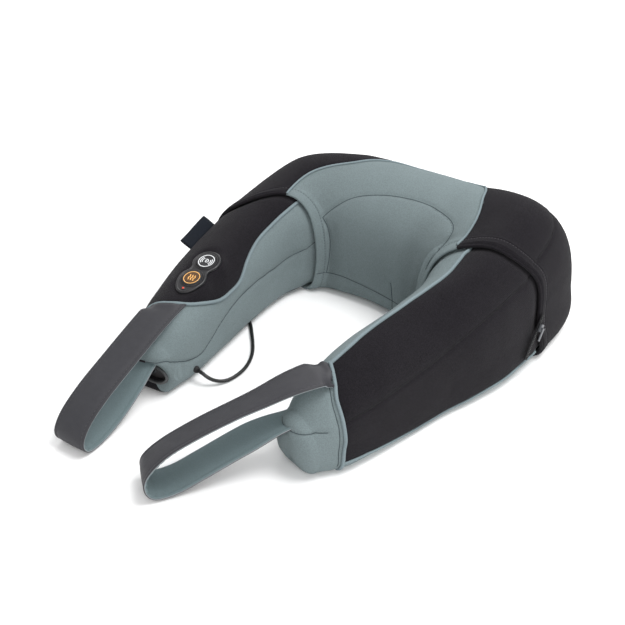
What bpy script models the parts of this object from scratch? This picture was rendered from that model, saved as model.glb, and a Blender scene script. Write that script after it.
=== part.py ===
"""Shiatsu neck massager: a soft U-shaped collar with a kneading mechanism in its back.

Metres, +Z up. The collar lies flat on a surface at z = 0, open towards -Y. The control arm is at -X.
Positions are written in the collar's own frame; FRAME_ORIGIN is the point of that frame, under the
middle of the collar's bounding box, which becomes the part's origin.
"""
import math

import bmesh
import bpy
from mathutils import Matrix, Vector

FRAME_ORIGIN = Vector((0.0129, -0.0138, 0.0))
GAP = 0.0003  # clearance between faces that touch
CUTTER_REACH = 0.010  # how far a cutter stands out of what it cuts

# Collar: each station of the U, from the control arm's tip round the back to the other tip, has the
# inner edge x, y, the outer edge x, y, the height and the section's shape.
ARM_LEFT = (
    (-0.42, 0), (-0.50, 0.38), (-0.46, 0.80), (-0.22, 1.0),
    (0.14, 0.97), (0.42, 0.74), (0.5, 0.40), (0.44, 0),
)
ARM_RIGHT = (
    (-0.42, 0), (-0.50, 0.38), (-0.44, 0.80), (-0.16, 1.0),
    (0.18, 0.93), (0.43, 0.70), (0.5, 0.38), (0.44, 0),
)
BACK = (
    (-0.44, 0), (-0.49, 0.30), (-0.40, 0.74), (-0.12, 0.97),
    (0.18, 1.0), (0.42, 0.76), (0.5, 0.40), (0.44, 0),
)
STATIONS = (
    (-0.062, -0.137, -0.110, -0.148, 0.058, ARM_LEFT),
    (-0.061, -0.105, -0.125, -0.119, 0.077, ARM_LEFT),
    (-0.069, -0.048, -0.143, -0.064, 0.090, ARM_LEFT),
    (-0.077, 0.010, -0.157, 0.000, 0.100, ARM_LEFT),
    (-0.076, 0.058, -0.164, 0.066, 0.112, ARM_LEFT),
    (-0.061, 0.084, -0.148, 0.146, 0.125, BACK),
    (-0.038, 0.093, -0.084, 0.199, 0.130, BACK),
    (0.004, 0.099, -0.008, 0.217, 0.131, BACK),
    (0.042, 0.097, 0.062, 0.226, 0.133, BACK),
    (0.066, 0.086, 0.168, 0.213, 0.134, BACK),
    (0.077, 0.062, 0.179, 0.092, 0.121, BACK),
    (0.076, 0.016, 0.160, 0.004, 0.108, ARM_RIGHT),
    (0.068, -0.048, 0.146, -0.062, 0.100, ARM_RIGHT),
    (0.064, -0.098, 0.134, -0.110, 0.082, ARM_RIGHT),
    (0.067, -0.125, 0.121, -0.135, 0.060, ARM_RIGHT),
)
RING_POINTS = 24
TIP_ROUNDING = 0.010
TIP_ROUNDING_STEPS = 2
COVER_THICKNESS = 0.0026
PAD_INSET = 0.0046  # pads under the removable cover stand this far inside its outer surface
# Station of the cover's hem at each of the section's eight outline points.
LEFT_HEM = (4.45, 4.86, 4.72, 4.20, 3.58, 3.50, 3.50, 3.75)
RIGHT_HEM = (9.45, 9.35, 9.22, 9.52, 9.69, 9.65, 9.70, 9.62)
RING_STEP = 0.25  # in stations
HEM_RINGS = 3
COVER_FULL = (5.0, 9.0)  # stations between which the cover's rings are plain sections
LEFT_PAD_END = 5.25
RIGHT_PAD_END = 9.0
PAD_JOINT_GAP = 0.04  # in stations

# Kneading mechanism, about the two heads' axes, which run along Y.
MECHANISM = Vector((0.008, 0.172, 0.058))  # middle of the gearbox, at the worm wheels' mid-plane
HEAD_OFFSET = 0.052
HEAD_ORBIT = 0.022
HEAD_REST_ANGLE = 32.0
NODE_RADIUS = 0.0135
NODE_FLAT_ANGLE = 60  # where a node's ball is cut off flat at each end
NODE_FRONT_Y = 0.1105
HEAD_ARM_Y = (0.1395, 0.1445)
HEAD_ARM_RADIUS = 0.0085
PIN_RADIUS = 0.0025
PIN_HEAD_RADIUS = 0.0045
PIN_HEAD_HEIGHT = 0.0013
PIN_HEAD_ROOM = 0.0020
PIN_CLEARANCE = 0.0005
PIN_REACH = 0.0045  # how far a pin goes into its arm
POST_RADIUS = 0.0040
POST_FRONT_Y = 0.1330
LENS_RADIUS = 0.0060
LENS_HEIGHT = 0.0055
CASE_SIZE = Vector((0.156, 0.0415, 0.0715))
CASE_CENTRE = MECHANISM + Vector((0.0, -0.00075, -0.00825))
CASE_WALL = 0.0025
WHEEL_RADIUS = 0.0223
WHEEL_TEETH = 24
WHEEL_WIDTH = 0.008
TOOTH_DEPTH = 0.0016
WORM_DROP = 0.028  # from the heads' axes down to the motor's
WORM_RADIUS = 0.0054
WORM_LENGTH = 0.022
MOTOR_RADIUS = 0.0125
SHAFT_RADIUS = 0.0012
SHAFT_REACH = 0.066
AXLE_RADIUS = 0.0065
AXLE_BORE = 0.0045
AXLE_END_Y = 0.1885
BUSH_RADIUS = 0.0095
FRONT_BUSH_Y = (0.1503, 0.1560)
REAR_BUSH_Y = (0.1800, 0.1883)
BOSS_RADIUS = 0.0042
SCREW_RADIUS = 0.0015
SCREW_HEAD = 0.0018
SCREW_DEPTH = 0.010  # from the case's split line to a screw's tip
SCREW_INSET = 0.0062
SADDLE_SPREAD = 0.012
SCREW_HEAD_ROOM = 0.0022
HARNESS_RADIUS = 0.0017
CABLE_ENTRY_Y = 0.162
CABLE_ENTRY_Z = MECHANISM.z + 0.010
CHANNEL_ROOM = 0.0012  # between a cord and the wall of its channel
CASE_LOW_X = CASE_CENTRE.x - CASE_SIZE.x / 2
HARNESS_ROUTE = (
    (-0.0790, -0.1315, 0.0270), (-0.0840, -0.1180, 0.0330), (-0.0960, -0.0900, 0.0450),
    (-0.1080, -0.0500, 0.0520), (-0.1160, 0.0000, 0.0560), (-0.1180, 0.0500, 0.0600),
    (-0.1090, 0.1000, 0.0660), (-0.0960, 0.1340, 0.0680), (CASE_LOW_X - 0.0160, 0.1500, CABLE_ENTRY_Z),
    (CASE_LOW_X - 0.0060, 0.1610, CABLE_ENTRY_Z), (CASE_LOW_X - 0.0010, CABLE_ENTRY_Y, CABLE_ENTRY_Z),
    (CASE_LOW_X + 0.0040, CABLE_ENTRY_Y, CABLE_ENTRY_Z),
)

# Controls: a pod let into the control arm's top. Local X across the arm, Y along it to the back, Z out.
POD_ORIGIN = Vector((-0.0958, -0.0598, 0.0905))
POD_NORMAL = Vector((-0.04, -0.19, 0.98)).normalized()
POD_ALONG = Vector((-0.13, 0.98, 0.0))
BUTTON_SPACING = 0.0256
BUTTON_RADIUS = 0.0104
BUTTON_TRAVEL = 0.0008
BUTTON_LOW = -0.0030
BUTTON_HIGH = 0.0020
BUTTON_EDGE = 0.0008
SWITCH_RADIUS = 0.0030
BEZEL_LOW = -0.0014
BEZEL_RADIUS = 0.0148
BEZEL_WAIST = 0.0108
BEZEL_TAIL = 0.0062  # how far the bezel reaches past the heat button's rim, to the lamp
LAMP_Y = -BUTTON_SPACING / 2 - BUTTON_RADIUS - 0.0046
LAMP_RADIUS = 0.0011
HOUSING_DEPTH = 0.0125
HOUSING_STEP = 0.0022  # how far the housing stands inside the bezel's outline
HOUSING_WALL = 0.0016
BOARD_STEP = 0.0045
BOARD_THICKNESS = 0.0012
BOARD_FOOT = 0.0004
POCKET_ROOM = 0.0004  # between a housing and the pocket that it sits in

# Power port in the control arm's tip.
PORT_CENTRE = Vector((-0.0780, -0.1478, 0.0240))
PORT_NORMAL = Vector((0.215, -0.95, 0.0)).normalized()
PORT_HALF_WIDTH = 0.0155
PORT_HALF_HEIGHT = 0.0105
PORT_RIM = 0.0016
PORT_RIM_HALF = 0.0012
PORT_WALL = 0.0018
PORT_DEPTH = 0.0130
PORT_FLOOR = -0.0050
JACK_X = -0.0040
JACK_RADIUS = 0.0045
JACK_BORE = 0.0029
JACK_PIN = 0.0010

# Lead: leaves the control arm's inner side, crosses under the arm and is put away behind it.
CORD_RADIUS = 0.00185
CORD_FLOOR = 0.0021  # height of its centre line where it lies on the floor
GLAND_POINT = Vector((-0.0560, -0.1085, 0.0140))
GLAND_LENGTH = 0.0100
GLAND_RADIUS = 0.0036
GLAND_LIP = 0.0028
COIL_CENTRE = Vector((-0.1880, 0.0900, 0.0))
COIL_RADIUS = 0.0210
COIL_WIDTH = 0.0082
COIL_BOTTOM = 0.0012
COIL_HEIGHT = 0.0041
TIE_ANGLE = math.radians(290)
TIE_WIDTH = 0.006
TIE_WALL = 0.0009
SOCKET_OFFSET = Vector((-0.0270, 0.0309, 0.0057))  # from the coil's middle to the socket's boot
SOCKET_BOOT_RADIUS = 0.0030
SOCKET_RADIUS = 0.0052
SOCKET_BORE = 0.0028
SOCKET_LENGTH = 0.033
CORD_ROUTE = (
    (-0.0540, -0.1085, 0.0140), (-0.0490, -0.1085, 0.0133), (-0.0440, -0.1070, 0.0100),
    (-0.0385, -0.1015, 0.0055), (-0.0340, -0.0930, 0.0028), (-0.0320, -0.0820, CORD_FLOOR),
    (-0.0325, -0.0690, CORD_FLOOR), (-0.0365, -0.0560, CORD_FLOOR), (-0.0440, -0.0430, CORD_FLOOR),
    (-0.0545, -0.0310, CORD_FLOOR), (-0.0660, -0.0200, CORD_FLOOR), (-0.0770, -0.0100, CORD_FLOOR),
    (-0.0920, -0.0020, CORD_FLOOR), (-0.1100, 0.0010, CORD_FLOOR), (-0.1300, 0.0000, CORD_FLOOR),
    (-0.1500, -0.0020, CORD_FLOOR), (-0.1680, 0.0020, CORD_FLOOR), (-0.1830, 0.0140, CORD_FLOOR),
    (-0.1930, 0.0320, CORD_FLOOR), (-0.2030, 0.0500, CORD_FLOOR), (-0.2110, 0.0680, 0.0030),
    (-0.21320, 0.0800, 0.0032),
)

# Hand loops: the middle of each band, from its upper root round to its lower root.
LOOP_WIDTH = 0.036
LOOP_THICKNESS = 0.0030
LEFT_LOOP = (
    (-0.0950, -0.0960, 0.0790), (-0.0925, -0.1150, 0.0775), (-0.0900, -0.1350, 0.0735),
    (-0.0868, -0.1620, 0.0660), (-0.0840, -0.1900, 0.0570), (-0.0815, -0.2180, 0.0470),
    (-0.0793, -0.2420, 0.0345), (-0.0782, -0.2540, 0.0215), (-0.0782, -0.2545, 0.0105),
    (-0.0790, -0.2460, 0.0035), (-0.0810, -0.2260, 0.0040), (-0.0835, -0.2000, 0.0120),
    (-0.0860, -0.1740, 0.0255), (-0.0880, -0.1570, 0.0365),
    (-0.0893, -0.1430, 0.0440),
)
RIGHT_LOOP = (
    (0.1000, -0.0900, 0.0890), (0.0900, -0.1080, 0.0880), (0.0790, -0.1280, 0.0840),
    (0.0660, -0.1510, 0.0765), (0.0520, -0.1750, 0.0690), (0.0360, -0.2030, 0.0585),
    (0.0215, -0.2280, 0.0455), (0.0125, -0.2440, 0.0300), (0.0110, -0.2465, 0.0150),
    (0.0150, -0.2400, 0.0055), (0.0250, -0.2220, 0.0060), (0.0390, -0.1980, 0.0170),
    (0.0545, -0.1710, 0.0320), (0.0680, -0.1480, 0.0430),
    (0.0795, -0.1290, 0.0490),
)

# Zip at the cover's lower outer corner, and the cloth tag on the control arm's outer seam.
ZIP_START = (9.67, 5.80)
ZIP_END = (9.90, 6.50)
ZIP_LIFT = 0.0022
ZIP_OFFSET = 0.0015
ZIP_LENGTH = 0.048
ZIP_WIDTH = 0.009
ZIP_THICKNESS = 0.0012
SLIDER_START = 0.010
SLIDER_SIZE = Vector((0.0070, 0.0080, 0.0030))
PULL_LIFT = 0.0012
PULL_WIDTH = 0.0044
PULL_LENGTH = 0.013
PULL_THICKNESS = 0.0013
TAG_START = 2.52
TAG_END = 3.18
TAG_OUTLINE_POINT = 4.62
TAG_REACH = Vector((-0.0150, 0.0, 0.0040))
TAG_THICKNESS = 0.0010


# ---------------------------------------------------------------- scene helpers

def clear_scene():
    for item in list(bpy.data.objects):
        bpy.data.objects.remove(item, do_unlink=True)


def make_material(name, colour, roughness, metallic=0.0):
    material = bpy.data.materials.new(name)
    material.use_nodes = True
    shader = material.node_tree.nodes["Principled BSDF"]
    shader.inputs["Base Color"].default_value = (*colour, 1.0)
    shader.inputs["Roughness"].default_value = roughness
    shader.inputs["Metallic"].default_value = metallic
    return material


def add_object(name, data, material, parent):
    item = bpy.data.objects.new(name, data)
    bpy.context.scene.collection.objects.link(item)
    item.parent = parent
    if material is not None:
        data.materials.append(material)
    return item


def add_empty(name, parent, matrix):
    empty = bpy.data.objects.new(name, None)
    bpy.context.scene.collection.objects.link(empty)
    empty.parent = parent
    empty.matrix_local = matrix
    return empty


def finish_mesh(name, mesh_builder, material, parent, smooth_angle=40.0):
    bmesh.ops.recalc_face_normals(mesh_builder, faces=mesh_builder.faces)
    mesh = bpy.data.meshes.new(name)
    mesh_builder.to_mesh(mesh)
    mesh_builder.free()
    mesh.shade_smooth()
    mesh.set_sharp_from_angle(angle=math.radians(smooth_angle))
    return add_object(name, mesh, material, parent)


def put_origin(item, point):
    """Move an object's origin to a point of its parent's frame, leaving its shape where it is."""
    item.data.transform(Matrix.Translation(-Vector(point)))
    item.location = point
    return item


def as_cutter(item):
    item.hide_render = True
    item.display_type = 'WIRE'
    return item


def cut(item, cutters):
    for cutter in cutters:
        modifier = item.modifiers.new("cut_" + cutter.name, 'BOOLEAN')
        modifier.operation = 'DIFFERENCE'
        modifier.solver = 'EXACT'
        modifier.object = cutter


def join(item, additions):
    for addition in additions:
        modifier = item.modifiers.new("join_" + addition.name, 'BOOLEAN')
        modifier.operation = 'UNION'
        modifier.solver = 'EXACT'
        modifier.object = addition


# ---------------------------------------------------------------- shapes

def box(name, low, high, material, parent, bevel=0.0):
    builder = bmesh.new()
    bmesh.ops.create_cube(builder, size=1.0)
    low = Vector(low)
    high = Vector(high)
    size = high - low
    for vert in builder.verts:
        vert.co = Vector([vert.co[i] * size[i] for i in range(3)]) + (low + high) / 2
    if bevel > 0.0:
        edges = list(builder.edges)
        bmesh.ops.bevel(builder, geom=edges, offset=bevel, segments=2, profile=0.5, affect='EDGES')
    return finish_mesh(name, builder, material, parent)


def turned(name, profile, material, parent, matrix, segments=16):
    """A body of revolution about the matrix's Z axis; profile is a closed outline of (radius, height)."""
    builder = bmesh.new()
    rings = []
    for radius, height in profile:
        if radius == 0.0:
            rings.append([builder.verts.new(matrix @ Vector((0, 0, height)))])
            continue
        ring = []
        for i in range(segments):
            angle = 2 * math.pi * i / segments
            point = Vector((radius * math.cos(angle), radius * math.sin(angle), height))
            ring.append(builder.verts.new(matrix @ point))
        rings.append(ring)
    bridges = list(zip(rings, rings[1:]))
    if profile[0][0] > 0.0 and profile[-1][0] > 0.0:
        bridges.append((rings[-1], rings[0]))
    for first, second in bridges:
        for i in range(segments):
            j = (i + 1) % segments
            corners = []
            near_pair = (first[i % len(first)], first[j % len(first)])
            far_pair = (second[j % len(second)], second[i % len(second)])
            for vert in near_pair + far_pair:
                if vert not in corners:
                    corners.append(vert)
            if len(corners) > 2:
                builder.faces.new(corners)
    return finish_mesh(name, builder, material, parent)


def axis_matrix(origin, direction):
    """Z along direction, at origin."""
    rotation = Vector(direction).to_track_quat('Z', 'Y').to_matrix().to_4x4()
    return Matrix.Translation(origin) @ rotation


def rod(name, radius, start, end, material, parent, segments=16):
    start = Vector(start)
    end = Vector(end)
    length = (end - start).length
    profile = ((0.0, 0.0), (radius, 0.0), (radius, length), (0.0, length))
    return turned(name, profile, material, parent, axis_matrix(start, end - start), segments)


def tube(name, inner, outer, start, end, material, parent, segments=16):
    start = Vector(start)
    end = Vector(end)
    length = (end - start).length
    profile = ((inner, 0.0), (outer, 0.0), (outer, length), (inner, length))
    return turned(name, profile, material, parent, axis_matrix(start, end - start), segments)


def prism(name, outline, low, high, material, parent, matrix=Matrix()):
    """An outline of (x, y) extruded from low to high along the matrix's Z."""
    builder = bmesh.new()
    rings = []
    for height in (low, high):
        rings.append([builder.verts.new(matrix @ Vector((x, y, height))) for x, y in outline])
    count = len(outline)
    for i in range(count):
        j = (i + 1) % count
        builder.faces.new((rings[0][i], rings[0][j], rings[1][j], rings[1][i]))
    builder.faces.new(rings[0])
    builder.faces.new(rings[1])
    return finish_mesh(name, builder, material, parent)


def loft(name, rings, material, parent, closed=False):
    """Skin a row of rings with the same number of points; closed joins the last ring to the first."""
    builder = bmesh.new()
    layers = [[builder.verts.new(point) for point in ring] for ring in rings]
    pairs = list(zip(layers, layers[1:]))
    if closed:
        pairs.append((layers[-1], layers[0]))
    else:
        builder.faces.new(layers[0])
        builder.faces.new(layers[-1])
    count = len(layers[0])
    for first, second in pairs:
        for i in range(count):
            j = (i + 1) % count
            builder.faces.new((first[i], first[j], second[j], second[i]))
    return finish_mesh(name, builder, material, parent)


def spline(values, t, closed=False):
    """Catmull-Rom curve through tuples of numbers; whole t is a given point."""
    count = len(values)
    if closed:
        i = math.floor(t)
        before, first, second, after = (values[(i + k) % count] for k in (-1, 0, 1, 2))
    else:
        i = min(max(math.floor(t), 0), count - 2)
        first = values[i]
        second = values[i + 1]
        before = values[i - 1] if i > 0 else [2 * a - b for a, b in zip(first, second)]
        after = values[i + 2] if i + 2 < count else [2 * b - a for a, b in zip(first, second)]
    f = t - i
    result = []
    for a, b, c, d in zip(before, first, second, after):
        square = 2 * a - 5 * b + 4 * c - d
        cube = 3 * b - a - 3 * c + d
        result.append(0.5 * (2 * b + (c - a) * f + square * f * f + cube * f ** 3))
    return result


def sampled(route, count):
    return [Vector(spline(route, (len(route) - 1) * i / (count - 1))) for i in range(count)]


def pipe(name, route, radius, count, material, parent):
    """A round cord along a smooth curve through the route's points."""
    curve = bpy.data.curves.new(name, 'CURVE')
    curve.dimensions = '3D'
    curve.bevel_depth = radius
    curve.bevel_resolution = 2
    curve.use_fill_caps = True
    line = curve.splines.new('POLY')
    points = sampled(route, count)
    line.points.add(len(points) - 1)
    for target, point in zip(line.points, points):
        target.co = (*point, 1.0)
    return add_object(name, curve, material, parent)


def pipe_cutter(name, route, radius, count, parent):
    """A mesh tube along a smooth curve, for cutting a channel."""
    points = sampled(route, count)
    rings = []
    for i, point in enumerate(points):
        along = (points[min(i + 1, count - 1)] - points[max(i - 1, 0)]).normalized()
        side = along.cross(Vector((0, 0, 1))).normalized()
        up = side.cross(along)
        ring = []
        for k in range(10):
            angle = 2 * math.pi * k / 10
            ring.append(point + (side * math.cos(angle) + up * math.sin(angle)) * radius)
        rings.append(ring)
    return as_cutter(loft(name, rings, None, parent))


def capsule_outline(half_length, radius, steps=8):
    """A slot shape along Y."""
    outline = []
    for end, first in ((1, 0.0), (-1, math.pi)):
        for i in range(steps + 1):
            angle = first + math.pi * i / steps
            outline.append((radius * math.cos(angle), end * half_length + radius * math.sin(angle)))
    return outline


def oval_outline(half_width, half_height, steps=24):
    outline = []
    for i in range(steps):
        angle = 2 * math.pi * i / steps
        outline.append((half_width * math.cos(angle), half_height * math.sin(angle)))
    return outline


# ---------------------------------------------------------------- collar surface

def collar_section(s):
    """Frame of the section at station s: middle, outward direction, width, height and outline."""
    x_in, y_in, x_out, y_out, height = spline([station[:5] for station in STATIONS], s)
    inner = Vector((x_in, y_in, 0.0))
    outer = Vector((x_out, y_out, 0.0))
    outline = []
    for k in range(8):
        radial, high = spline([(*station[5][k],) for station in STATIONS], s)
        outline.append((radial, high))
    width = (outer - inner).length
    return (inner + outer) / 2, (outer - inner) / width, width, height, outline


def collar_point(s, u, inset=0.0):
    """A point of the collar's surface at station s and outline position u, moved inwards by inset."""
    middle, outward, width, height, outline = collar_section(s)

    def flat(position):
        radial, high = spline(outline, position, closed=True)
        return Vector((radial * width, max(high, 0.0) * height))

    here = flat(u)
    along = flat(u + 0.04) - flat(u - 0.04)
    normal = Vector((-along.y, along.x)).normalized()
    here -= normal * inset
    return middle + outward * here.x + Vector((0, 0, here.y))


def collar_ring(s, inset, shift=Vector((0, 0, 0))):
    return [collar_point(s, 8 * i / RING_POINTS, inset) + shift for i in range(RING_POINTS)]


def ring_stations(first, last):
    """Stations from first to last, all whole multiples of RING_STEP but the two ends."""
    low = min(first, last)
    high = max(first, last)
    count = math.ceil((high + 0.02) / RING_STEP)
    between = [i * RING_STEP for i in range(count) if low + 0.02 < i * RING_STEP < high - 0.02]
    stations = [low, *between, high]
    return stations if first < last else stations[::-1]


def hem_ring(stations, inset):
    ring = []
    for i in range(RING_POINTS):
        u = 8 * i / RING_POINTS
        s = spline([(value,) for value in stations], u, closed=True)[0]
        ring.append(collar_point(s, u, inset))
    return ring


def tip_rings(s, direction):
    """Rings of a rounded end at station s, from the outermost to the last before s."""
    rings = []
    for i in range(TIP_ROUNDING_STEPS):
        angle = math.radians(80.0 - 40.0 * i)
        inset = TIP_ROUNDING * (1 - math.cos(angle))
        rings.append(collar_ring(s, inset, direction * TIP_ROUNDING * math.sin(angle)))
    return rings


def pad_inset(s, under, open_air):
    """Pads stand at the full surface in the open and PAD_INSET below it under the cover."""
    share = (s - open_air) / (under - open_air)
    return PAD_INSET * min(max(share, 0.0), 1.0)


# ---------------------------------------------------------------- soft parts

def build_arm_pads(parent, materials):
    tip = collar_section(0.0)[1]
    left = tip_rings(0.0, Vector((tip.y, -tip.x, 0.0)))
    for s in ring_stations(0.0, LEFT_PAD_END):
        left.append(collar_ring(s, pad_inset(s, under=3.25, open_air=2.75)))
    last = len(STATIONS) - 1.0
    tip = collar_section(last)[1]
    right = tip_rings(last, Vector((tip.y, -tip.x, 0.0)))
    for s in ring_stations(last, RIGHT_PAD_END):
        right.append(collar_ring(s, pad_inset(s, under=10.0, open_air=10.5)))
    return (
        loft("left_arm_pad", left, materials["grey_knit"], parent),
        loft("right_arm_pad", right, materials["black_knit"], parent),
    )


def cover_rings(inset):
    """Rings of the cover from hem to hem; those near a hem lean from the hem's line to a plain section."""
    rings = []
    for i in range(HEM_RINGS):
        share = i / HEM_RINGS
        rings.append(hem_ring([hem + (COVER_FULL[0] - hem) * share for hem in LEFT_HEM], inset))
    for s in ring_stations(*COVER_FULL):
        rings.append(collar_ring(s, inset))
    for i in range(HEM_RINGS - 1, -1, -1):
        share = i / HEM_RINGS
        rings.append(hem_ring([hem + (COVER_FULL[1] - hem) * share for hem in RIGHT_HEM], inset))
    return rings


def build_cover(parent, materials):
    rings = cover_rings(0.0) + cover_rings(COVER_THICKNESS)[::-1]
    return loft("centre_cover", rings, materials["cover_knit"], parent, closed=True)


def build_foam(parent, materials):
    first = LEFT_PAD_END + PAD_JOINT_GAP
    last = RIGHT_PAD_END - PAD_JOINT_GAP
    rings = [collar_ring(s, PAD_INSET) for s in ring_stations(first, last)]
    foam = loft("collar_foam", rings, materials["foam"], parent)
    half = CASE_SIZE / 2 + Vector((1, 1, 1)) * 0.0012
    behind = Vector((0, SCREW_HEAD_ROOM, 0))
    case_room = box("case_room", CASE_CENTRE - half, CASE_CENTRE + half + behind, None, parent)
    reach = HEAD_OFFSET + HEAD_ORBIT + NODE_RADIUS + 0.0025
    rise = HEAD_ORBIT + NODE_RADIUS + 0.0025
    head_room = box(
        "head_room",
        (MECHANISM.x - reach, 0.05, MECHANISM.z - rise),
        (MECHANISM.x + reach, HEAD_ARM_Y[1] + 0.0062, MECHANISM.z + rise), None, parent)
    cut(foam, [as_cutter(case_room), as_cutter(head_room)])
    return foam


def band(name, route, material, parent, margin=0.0):
    """A strap whose width stays level and square to the loop's upright plane, margin larger all round."""
    count = 30
    points = sampled(route, count)
    points[0] += (points[0] - points[1]).normalized() * margin
    points[-1] += (points[-1] - points[-2]).normalized() * margin
    first = Vector(route[0])
    bend = Vector(route[8])
    plane = (bend - first).cross(Vector((0, 0, 1))).normalized()
    rings = []
    for i, point in enumerate(points):
        before = points[max(i - 1, 0)]
        after = points[min(i + 1, count - 1)]
        normal = (after - before).normalized().cross(plane).normalized()
        side = plane * (LOOP_WIDTH / 2 + margin)
        lift = normal * (LOOP_THICKNESS / 2 + margin)
        rings.append([point + side + lift, point - side + lift, point - side - lift, point + side - lift])
    return loft(name, rings, material, parent)


def build_hand_loop(side, route, parent, materials, pad):
    """A loop whose two ends lie in pockets of the arm's tip, where they are sewn in."""
    band(side + "_hand_loop", route, materials["strap"], parent)
    pocket = band(side + "_loop_pocket", route, None, parent, margin=2 * GAP)
    cut(pad, [as_cutter(pocket)])


def build_tag(parent, materials):
    base = [collar_point(s, TAG_OUTLINE_POINT, -2 * GAP) for s in (TAG_START, TAG_END)]
    base = [point + TAG_REACH.normalized() * 0.0008 for point in base]
    tip = [point + TAG_REACH for point in base]
    thickness = TAG_REACH.cross(base[1] - base[0]).normalized() * TAG_THICKNESS / 2
    rings = []
    for low, high in zip(base, tip):
        rings.append([low - thickness, low + thickness, high + thickness, high - thickness])
    return loft("cloth_tag", rings, materials["tag"], parent)


def zip_matrix():
    """Frame of the zip: Y down along the tape, Z out of the cover, origin at the tape's upper end."""
    start = collar_point(*ZIP_START, -ZIP_LIFT)
    along = (collar_point(*ZIP_END, -ZIP_LIFT) - start).normalized()
    out = Vector((along.y, -along.x, 0.0)).cross(along).cross(along).normalized()
    if out.x < 0.0:
        out = -out
    across = along.cross(out)
    return Matrix.Translation(start + out * ZIP_OFFSET) @ Matrix((across, along, out)).transposed().to_4x4()


def build_zip(parent, materials):
    rig = add_empty("zip_frame", parent, zip_matrix())
    half = ZIP_WIDTH / 2
    box("zip_tape", (-half, 0, 0), (half, ZIP_LENGTH, ZIP_THICKNESS), materials["zip"], rig)
    low = ZIP_THICKNESS + GAP
    top = low + SLIDER_SIZE.z
    half = SLIDER_SIZE.x / 2
    slider = box("zip_slider", (-half, SLIDER_START, low), (half, SLIDER_START + SLIDER_SIZE.y, top),
                 materials["zip_metal"], rig, bevel=0.0006)
    hinge = Vector((0.0, SLIDER_START + SLIDER_SIZE.y / 2, top + PULL_LIFT))
    ears = []
    for side in (-1, 1):
        edges = sorted((side * (PULL_WIDTH / 2 + GAP), side * (half - 0.0001)))
        ears.append(as_cutter(box("slider_ear_%d" % side, (edges[0], hinge.y - 0.001, top - 0.001),
                                  (edges[1], hinge.y + 0.001, hinge.z + 0.0008), None, rig)))
    join(slider, ears)
    thickness = PULL_THICKNESS / 2
    pull = box("zip_pull", (-PULL_WIDTH / 2, hinge.y - 0.0006, hinge.z - thickness),
               (PULL_WIDTH / 2, hinge.y + PULL_LENGTH, hinge.z + thickness),
               materials["zip_metal"], rig, bevel=0.0003)
    put_origin(pull, hinge)


# ---------------------------------------------------------------- controls

def pod_matrix():
    across = POD_ALONG.cross(POD_NORMAL).normalized()
    along = POD_NORMAL.cross(across)
    return Matrix.Translation(POD_ORIGIN) @ Matrix((across, along, POD_NORMAL)).transposed().to_4x4()


def pod_outline(margin):
    """Figure-of-eight outline round the two buttons, longer at the heat button's end for the lamp."""
    half = BUTTON_SPACING / 2
    radius = BEZEL_RADIUS + margin
    waist = BEZEL_WAIST + margin
    right = []
    for i in range(10):
        angle = math.radians(-90 + 125 * i / 9)
        x = radius * math.cos(angle)
        y = -half + radius * math.sin(angle)
        if angle < 0:
            y += -BEZEL_TAIL * math.sin(-angle) ** 2
        right.append((x, y))
    right.append((waist, 0.0))
    for i in range(10):
        angle = math.radians(-35 + 125 * i / 9)
        right.append((radius * math.cos(angle), half + radius * math.sin(angle)))
    left = [(-x, y) for x, y in right[-2:0:-1]]
    return right + left


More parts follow.
